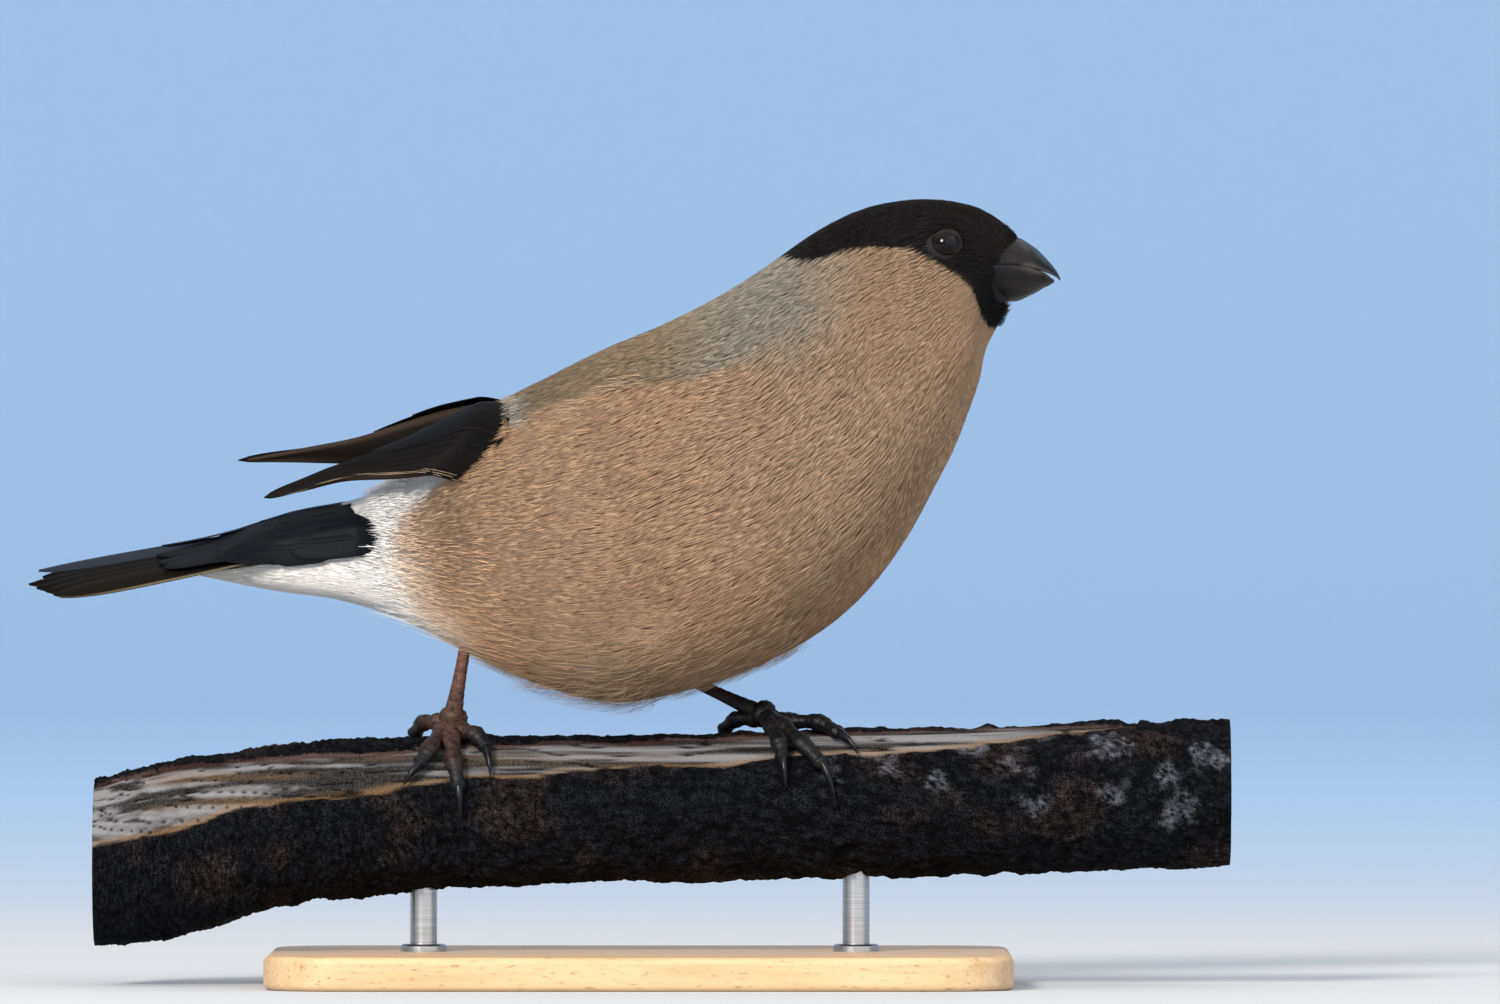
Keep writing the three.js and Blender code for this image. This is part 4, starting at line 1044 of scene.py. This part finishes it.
# Lichen grows in round patches, mostly towards the front end: x, degrees, radius.
LICHEN = [(36, 52, 3.0), (69, 48, 3.6), (70, 88, 3.2), (84, 55, 3.4), (49, 40, 2.4), (55, 62, 2.6),
          (58, 95, 3.0), (28, 60, 2.4), (78, 75, 2.6), (60, 30, 2.2), (20, -60, 2.6), (48, -80, 3.2),
          (-30, -100, 2.4), (75, -40, 3.0), (44, 75, 2.6), (80, 100, 3.2)]
lichen = 0 * x_along
for spot_x, spot_degrees, spot_radius in LICHEN:
    away = (degrees - spot_degrees + 180) % 360 - 180
    distance = np.hypot(x_along - spot_x, np.radians(away) * PERCH_RADIUS)
    distance = distance + 1.2 * lumps(smooth_points, 2.0, 9.0, 2)
    lichen = np.maximum(lichen, smoothstep(spot_radius, spot_radius - 1.8, distance))
speckle = random.uniform(0, 1, (rows, columns)) ** 2
rust = smoothstep(0.1, 0.8, lumps(smooth_points, 9.0, 10.0, 2))
bark_tone = layered(rings, tone("#0c0d10"), (tone("#292b31"), 0.8 * pimple + 0.3 * speckle),
                    (tone("#5e4a42"), 0.36 * rust * np.maximum(pimple, speckle * 0.6)),
                    (tone("#7c808c"), 0.55 * lichen * np.maximum(pimple, speckle * 0.7)))
streak = smoothstep(-0.7, 0.8, lumps(smooth_points * [0.05, 1, 1], 1.1, 11.0, 3))
tan = smoothstep(0.2, 0.7, lumps(smooth_points * [0.08, 1, 1], 2.6, 12.0, 2)) * smoothstep(30, -60, x_along)
tan = np.maximum(0.5 * tan, smoothstep(6, 2, bare_to - degrees - wander) * 0.9)
# The cracks in the bare wood are painted near black, as shade inside them.
wood_tone = layered(rings, tone("#3a3938"), (tone("#808082"), streak), (tone("#7f6342"), 0.65 * tan),
                    (tone("#4a2f28"), 0.8 * smoothstep(9, 3, degrees + wander - bare_from)),
                    (tone("#191614"), 0.85 * crack))
side_tone = blend(bark_tone, wood_tone, bare)
end_tones = []
for disc in ends:
    distance = np.linalg.norm((disc - disc[-1].mean(0))[..., 1:], axis=-1)
    circles = 0.5 + 0.5 * np.sin(distance * 2 * math.pi / 1.1 + 0.8 * lumps(disc, 5.0, 13.0))
    end_tones.append(layered(disc, tone("#a88a62"), (tone("#7a5f40"), circles ** 3),
                             (tone("#1c1a19"), smoothstep(10.0, 10.7, distance))))
all_tones = np.concatenate([end_tones[0][::-1], side_tone, end_tones[1]]).reshape(-1, 3)
all_tones = np.concatenate([all_tones, [tone("#8d7350")] * 2])


def bark_look(tree):
    """Dead bark and weathered wood, both quite dull. Grit 0.2 mm wide speckles the dark bark all
    over, and the pale wood only a little."""
    tint = node(tree, "ShaderNodeAttribute", "Color", attribute_name="tint")
    place = node(tree, "ShaderNodeTexCoord", "Object")
    grit = node(tree, "ShaderNodeTexNoise", "Fac",
                {"Vector": place, "Scale": 4200.0, "Detail": 2.0, "Roughness": 0.8})
    speck = node(tree, "ShaderNodeValToRGB", "Color", {"Fac": grit},
                 stops=[(0.42, "#303030"), (0.62, "#ffffff")])
    brightness = node(tree, "ShaderNodeRGBToBW", "Val", {"Color": tint})
    gritty = node(tree, "ShaderNodeMapRange", "Result",
                  {"Value": brightness, "From Min": 0.02, "From Max": 0.12, "To Min": 1.0, "To Max": 0.25})
    mixed = node(tree, "ShaderNodeMix", "Result", {"Factor": gritty, "A": tint, "B": speck},
                 data_type="RGBA", blend_type="MULTIPLY")
    bump = node(tree, "ShaderNodeBump", "Normal", {"Height": grit, "Strength": 0.5, "Distance": 0.0002})
    return {"Base Color": mixed, "Normal": bump, "Roughness": 0.85, "IOR": 1.1}


bark = material("weathered bark and bare wood", bark_look)
add_piece("branch", branch_surface, bark, ("perch",), all_tones)

# The legs and feet
# Slender scaled shanks, and four thick scaled toes on each foot that grip the branch, with
# curved horn claws. The skin is pinkish brown above and blue-black on the toes.

# Each stop of a foot is a distance along the branch from the foot's x, degrees round it from the
# top to the right, and a height over the bark. A toe has three stops after the foot's middle, and
# then its claw's tip.
FEET = {
    "right": {
        "x": -27.8, "middle": (0, 4, 2.3), "ankle": (-24.6, -5.5, 57.0),
        "toes": {
            "hallux": ([(-2.2, 0, 1.9), (-4.2, -9, 2.0), (-5.8, -26, 1.2)], (-6.4, -48, 0.5)),
            "inner": ([(1.5, 20, 1.4), (3.6, 30, 1.8), (5.3, 42, 1.1)], (5.8, 64, 0.5)),
            "middle": ([(0, 30, 1.4), (0.5, 54, 1.3), (1.2, 74, 1.1)], (1.5, 94, 0.5)),
            "outer": ([(-1.2, 18, 1.4), (-3.2, 42, 1.4), (-4.8, 55, 1.1)], (-7.0, 68, 0.5)),
        },
    },
    "left": {
        "x": 18.5, "middle": (0, -2, 2.4), "ankle": (2.4, 5.5, 47.4),
        "toes": {
            "hallux": ([(-1.6, -5, 1.9), (-4.2, -10, 2.0), (-6.3, -26, 1.2)], (-7.0, -48, 0.5)),
            "inner": ([(1.2, 22, 1.4), (2.2, 42, 1.4), (2.7, 56, 1.1)], (3.1, 76, 0.5)),
            "middle": ([(2.6, 20, 1.5), (5.4, 42, 1.4), (8.8, 62, 1.1)], (10.4, 86, 0.5)),
            "outer": ([(3.7, 4, 1.4), (8.0, 14, 1.5), (11.2, 32, 1.1)], (13.7, 50, 0.5)),
        },
    },
}
TOE_ROWS, CLAW_ROWS, PAD_ROWS, SHANK_ROWS = 72, 30, 26, 130
CLAW_START = 0.6  # how far the claw's arc is drawn on past the toe's end
CLAW_ARCH = 1.12  # how far it is drawn away from the branch
GRIP_HEIGHT = 26  # of the branch's middle, which the toes' upper sides face away from
LIMB_SIDES = 24


def on_perch(foot, stop):
    """A stop of a foot (distance along, degrees round, height above the bark) as a point."""
    at_x = foot["x"] + stop[0]
    line = curve(PERCH, np.linspace(0, len(PERCH) - 1, 2401))
    _, middle_z, bark_radius = line[np.argmin(np.abs(line[:, 0] - at_x))]
    angle = math.radians(stop[1])
    reach = bark_radius + stop[2]
    return np.array([at_x, -reach * math.sin(angle), middle_z + reach * math.cos(angle)])


def limb(spine, upward, high, wide, relief):
    """Rings round a line: ellipses of half sizes high and wide, swelled by the relief, which is
    a share of the radius at each way along and turn round."""
    forward = np.gradient(spine, axis=0)
    across = np.cross(forward, upward)
    across /= np.linalg.norm(across, axis=-1, keepdims=True)
    up = np.cross(across, forward)
    up /= np.linalg.norm(up, axis=-1, keepdims=True)
    turn = full_turn(LIMB_SIDES)[None, :]
    swell = 1 + relief(np.linspace(0, 1, len(spine))[:, None], turn)
    return (spine[:, None] + across[:, None] * (wide[:, None] * np.sin(turn) * swell)[..., None]
            + up[:, None] * (high[:, None] * np.cos(turn) * swell)[..., None])


def scutes(number, depth):
    """Overlapping plates across the upper side, a saw tooth along the limb, and fine pebbles
    on the lower side."""
    def relief(way, turn):
        """The swelling there, as a share of the radius."""
        tooth = (way * number) % 1
        plate = smoothstep(0, 0.2, tooth) * (1 - 0.6 * tooth)
        upper = smoothstep(-0.35, 0.25, np.cos(turn))
        pebble = np.sin(way * number * 11 + 2 * turn) * np.sin(turn * 7)
        return depth * (plate * upper + (1 - upper) * 0.25 * pebble - 0.35)
    return relief


def scale_look(tree):
    """Dry scaled skin: a soft gloss on a pebbled relief of scales 0.4 mm wide, and dark blotches
    between them."""
    place = node(tree, "ShaderNodeTexCoord", "Object")
    scale = node(tree, "ShaderNodeTexVoronoi", "Distance", {"Vector": place, "Scale": 2600.0})
    bump = node(tree, "ShaderNodeBump", "Normal", {"Height": scale, "Strength": 0.35, "Distance": 0.00015})
    return {"Base Color": blotched(tree, place, 1100.0, "#6e6a68"), "Normal": bump, "Roughness": 0.5,
            "IOR": 1.3}


def claw_look(tree):
    """Smooth claw horn: nearly black, with a clear highlight and faint clouds of dark grey."""
    place = node(tree, "ShaderNodeTexCoord", "Object")
    cloud = node(tree, "ShaderNodeTexNoise", "Fac", {"Vector": place, "Scale": 600.0})
    colour = node(tree, "ShaderNodeValToRGB", "Color", {"Fac": cloud},
                  stops=[(0.35, "#08090b"), (0.7, "#141519")])
    return {"Base Color": colour, "Roughness": 0.3, "IOR": 1.3}


scaly = material("scaled leg skin", scale_look)
claw_horn = material("polished claw horn", claw_look)


def limb_colours(rings, first, last):
    """A limb's colours, from the first at its root to the last at its end."""
    way = smoothstep(0, 1, np.linspace(0, 1, len(rings)))[:, None] + np.zeros(rings.shape[1])
    colours = layered(rings, tone(first), (tone(last), way)).reshape(-1, 3)
    return np.concatenate([colours, colours[:1], colours[-1:]])


# Colours of the shank's top, the foot and the toes' ends. The far left leg's are darker copies of the
# right's, painted shade.
LEG_TONES_FAR_SHADED = {"right": ("#9a6a5a", "#5a4036", "#0d1218"), "left": ("#4a302a", "#141112", "#0d0f13")}
for side_name, foot in FEET.items():
    shank_tone, foot_tone, toe_tone = LEG_TONES_FAR_SHADED[side_name]
    centre = on_perch(foot, foot["middle"])
    surfaces, tints = [], []
    for toe_name, (path, claw_tip) in foot["toes"].items():
        stops = np.array([centre] + [on_perch(foot, stop) for stop in path])
        way = np.linspace(0, 1, TOE_ROWS)
        spine = curve(stops, way * 3)
        upward = spine - np.stack([spine[:, 0], 0 * way, GRIP_HEIGHT + 0 * way], -1)
        # The toe swells at each joint, narrows to its end, and closes round the claw's root.
        knuckle = 1 + 0.13 * np.cos(way * 3 * 2 * math.pi)
        taper = (1.0 - 0.22 * way) * knuckle * (1 - 0.3 * smoothstep(0.93, 1.0, way))
        rings = limb(spine, upward, 1.30 * taper, 1.42 * taper, scutes(11, 0.2))
        surfaces.append(tube(rings))
        tints.append(limb_colours(rings, foot_tone, toe_tone))
        # The claw's line is a quadratic arc, arched away from the branch.
        ahead = (spine[-1] - spine[-2]) / np.linalg.norm(spine[-1] - spine[-2])
        outward = upward[-1] / np.linalg.norm(upward[-1])
        begin = spine[-1] - ahead * 0.5
        tip = on_perch(foot, claw_tip)
        bend = (spine[-1] + ahead * CLAW_START + tip) / 2 + outward * CLAW_ARCH
        t = np.linspace(0, 1, CLAW_ROWS)[:, None]
        claw_line = (1 - t) ** 2 * begin + 2 * t * (1 - t) * bend + t ** 2 * tip
        claw_up = claw_line - np.concatenate([claw_line[:, :1], 0 * t, GRIP_HEIGHT + 0 * t], 1)
        thick = 0.88 - 0.80 * t[:, 0] ** 1.2
        claw_rings = limb(claw_line, claw_up, thick * 1.15, thick * 0.85,
                          lambda way, turn: -0.12 * np.exp(-((np.abs(turn - math.pi) - 0.5) / 0.3) ** 2))
        add_piece(f"claw_horn_{side_name}_{toe_name}", tube(claw_rings), claw_horn,
                  (f"claw_{side_name}_{toe_name}",))
    # The foot's pad is an egg where the toes meet, and the shank flares down into it.
    ankle = np.array(foot["ankle"])
    down = (centre - ankle) / np.linalg.norm(centre - ankle)
    pad_way = np.linspace(-1, 1, PAD_ROWS)
    pad_line = centre + down * (pad_way[:, None] * 1.9 - 0.3)
    pad_wide = 2.0 * np.sqrt(np.clip(1 - pad_way ** 2, 0.03, 1))
    rings = limb(pad_line, np.tile([1.0, 0.2, 0], (PAD_ROWS, 1)), pad_wide * 1.1, pad_wide, scutes(6, 0.2))
    surfaces.append(tube(rings))
    tints.append(limb_colours(rings, foot_tone, toe_tone))
    add_piece(f"toes_{side_name}", join(surfaces), scaly, (f"foot_{side_name}",),
              np.concatenate(tints))
    way = np.linspace(0, 1, SHANK_ROWS)
    shank = ankle + (centre - down * 0.6 - ankle) * way[:, None]
    flare = 1 + 0.75 * way ** 4 + 0.15 * smoothstep(0.1, 0, way)
    forward = np.tile([1.0, 0, 0], (SHANK_ROWS, 1))
    rings = limb(shank, forward, 0.86 * flare, 0.76 * flare, scutes(14, 0.12))
    add_piece(f"shank_{side_name}", tube(rings), scaly, (f"tarsus_{side_name}",),
              limb_colours(rings, shank_tone, foot_tone))

# The stand
# A flat base of light beech with rounded corners and eased edges, and two brushed steel rods
# that stand in it and reach up into the branch, each with a thin collar.

BASE_LENGTH, BASE_WIDTH, BASE_THICKNESS, BASE_CORNER = 110, 84, 5, 12
BASE_EASE = 1.0
CORNER_STEPS = 14
ROD_X = 32
ROD_RADIUS = 2
ROD_SIDES = 48
COLLAR_RADIUS = 3.4

# The base is one rounded outline at twelve levels, drawn in by a quarter circle at both edges.
ease = np.linspace(0, math.pi / 2, 6)
inset = BASE_EASE * np.concatenate([1 - np.sin(ease), 1 - np.sin(ease[::-1])])
level = BASE_EASE * (1 - np.cos(ease))
level = np.concatenate([level, BASE_THICKNESS - level[::-1]])
angle = (np.arange(4)[:, None] * math.pi / 2 + np.linspace(0, math.pi / 2, CORNER_STEPS)).ravel()
corner_x = np.repeat([1, -1, -1, 1], CORNER_STEPS) * (BASE_LENGTH / 2 - BASE_CORNER)
corner_y = np.repeat([1, 1, -1, -1], CORNER_STEPS) * (BASE_WIDTH / 2 - BASE_CORNER)
reach = (BASE_CORNER - inset)[:, None]
rings = np.stack([corner_x + reach * np.cos(angle), corner_y + reach * np.sin(angle),
                  level[:, None] + 0 * angle], -1)


def beech_look(tree):
    """Planed and oiled beech: pale, with a dull sheen, soft bands along the grain, and the short
    dark flecks of its rays."""
    place = node(tree, "ShaderNodeTexCoord", "Object")
    along = node(tree, "ShaderNodeMapping", "Vector", {"Vector": place, "Scale": (6.0, 110.0, 60.0)})
    grain = node(tree, "ShaderNodeTexNoise", "Fac",
                 {"Vector": along, "Scale": 6.0, "Detail": 6.0, "Distortion": 0.4})
    short = node(tree, "ShaderNodeMapping", "Vector", {"Vector": place, "Scale": (500.0, 3000.0, 2000.0)})
    fleck = node(tree, "ShaderNodeTexNoise", "Fac", {"Vector": short, "Scale": 1.0})
    bands = node(tree, "ShaderNodeValToRGB", "Color", {"Fac": grain},
                 stops=[(0.3, "#bd9b6f"), (0.7, "#cfb189")])
    dark = node(tree, "ShaderNodeValToRGB", "Color", {"Fac": fleck},
                stops=[(0.60, "#ffffff"), (0.72, "#a98661")])
    mixed = node(tree, "ShaderNodeMix", "Result", {"Factor": 0.6, "A": bands, "B": dark},
                 data_type="RGBA", blend_type="MULTIPLY")
    bump = node(tree, "ShaderNodeBump", "Normal", {"Height": fleck, "Strength": 0.15, "Distance": 0.0001})
    return {"Base Color": mixed, "Normal": bump, "Roughness": 0.5}


beech = material("oiled beech", beech_look)
add_piece("stand_plate", tube(rings), beech, ("stand_base",), smooth=False)


def steel_look(tree):
    """Steel brushed round the rod: a grey metal whose highlight is drawn out along it by fine
    rings 0.2 mm apart."""
    place = node(tree, "ShaderNodeTexCoord", "Object")
    rings = node(tree, "ShaderNodeMapping", "Vector", {"Vector": place, "Scale": (60.0, 60.0, 5000.0)})
    brushed = node(tree, "ShaderNodeTexNoise", "Fac", {"Vector": rings, "Scale": 1.0, "Detail": 3.0})
    colour = node(tree, "ShaderNodeValToRGB", "Color", {"Fac": brushed},
                  stops=[(0.3, "#9c9c9b"), (0.7, "#c4c4c2")])
    bump = node(tree, "ShaderNodeBump", "Normal", {"Height": brushed, "Strength": 0.1, "Distance": 0.00005})
    return {"Base Color": colour, "Normal": bump, "Metallic": 1.0, "Roughness": 0.32}


steel = material("brushed steel", steel_look)
for name, rod_x in (("rear", -ROD_X), ("front", ROD_X)):
    # A profile carried round the rod: up its side, out over the collar, and on to the top.
    low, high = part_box(f"stand_rod_{name}")
    bottom, top = low[2] / MM, high[2] / MM
    collar = BASE_THICKNESS + np.array([-0.2, 0.01, 0.8, 1.1, 1.1])
    levels = np.concatenate([[bottom, bottom], collar, [top, top]])
    radii = np.array([0.2, ROD_RADIUS, ROD_RADIUS, COLLAR_RADIUS, COLLAR_RADIUS, COLLAR_RADIUS - 0.3,
                      ROD_RADIUS, ROD_RADIUS, 0.2])
    turn = full_turn(ROD_SIDES)
    rings = np.stack([rod_x + np.outer(radii, np.cos(turn)), np.outer(radii, np.sin(turn)),
                      np.outer(levels, np.ones(ROD_SIDES))], -1)
    add_piece(f"stand_pin_{name}", tube(rings), steel, (f"stand_rod_{name}",), smooth=False)
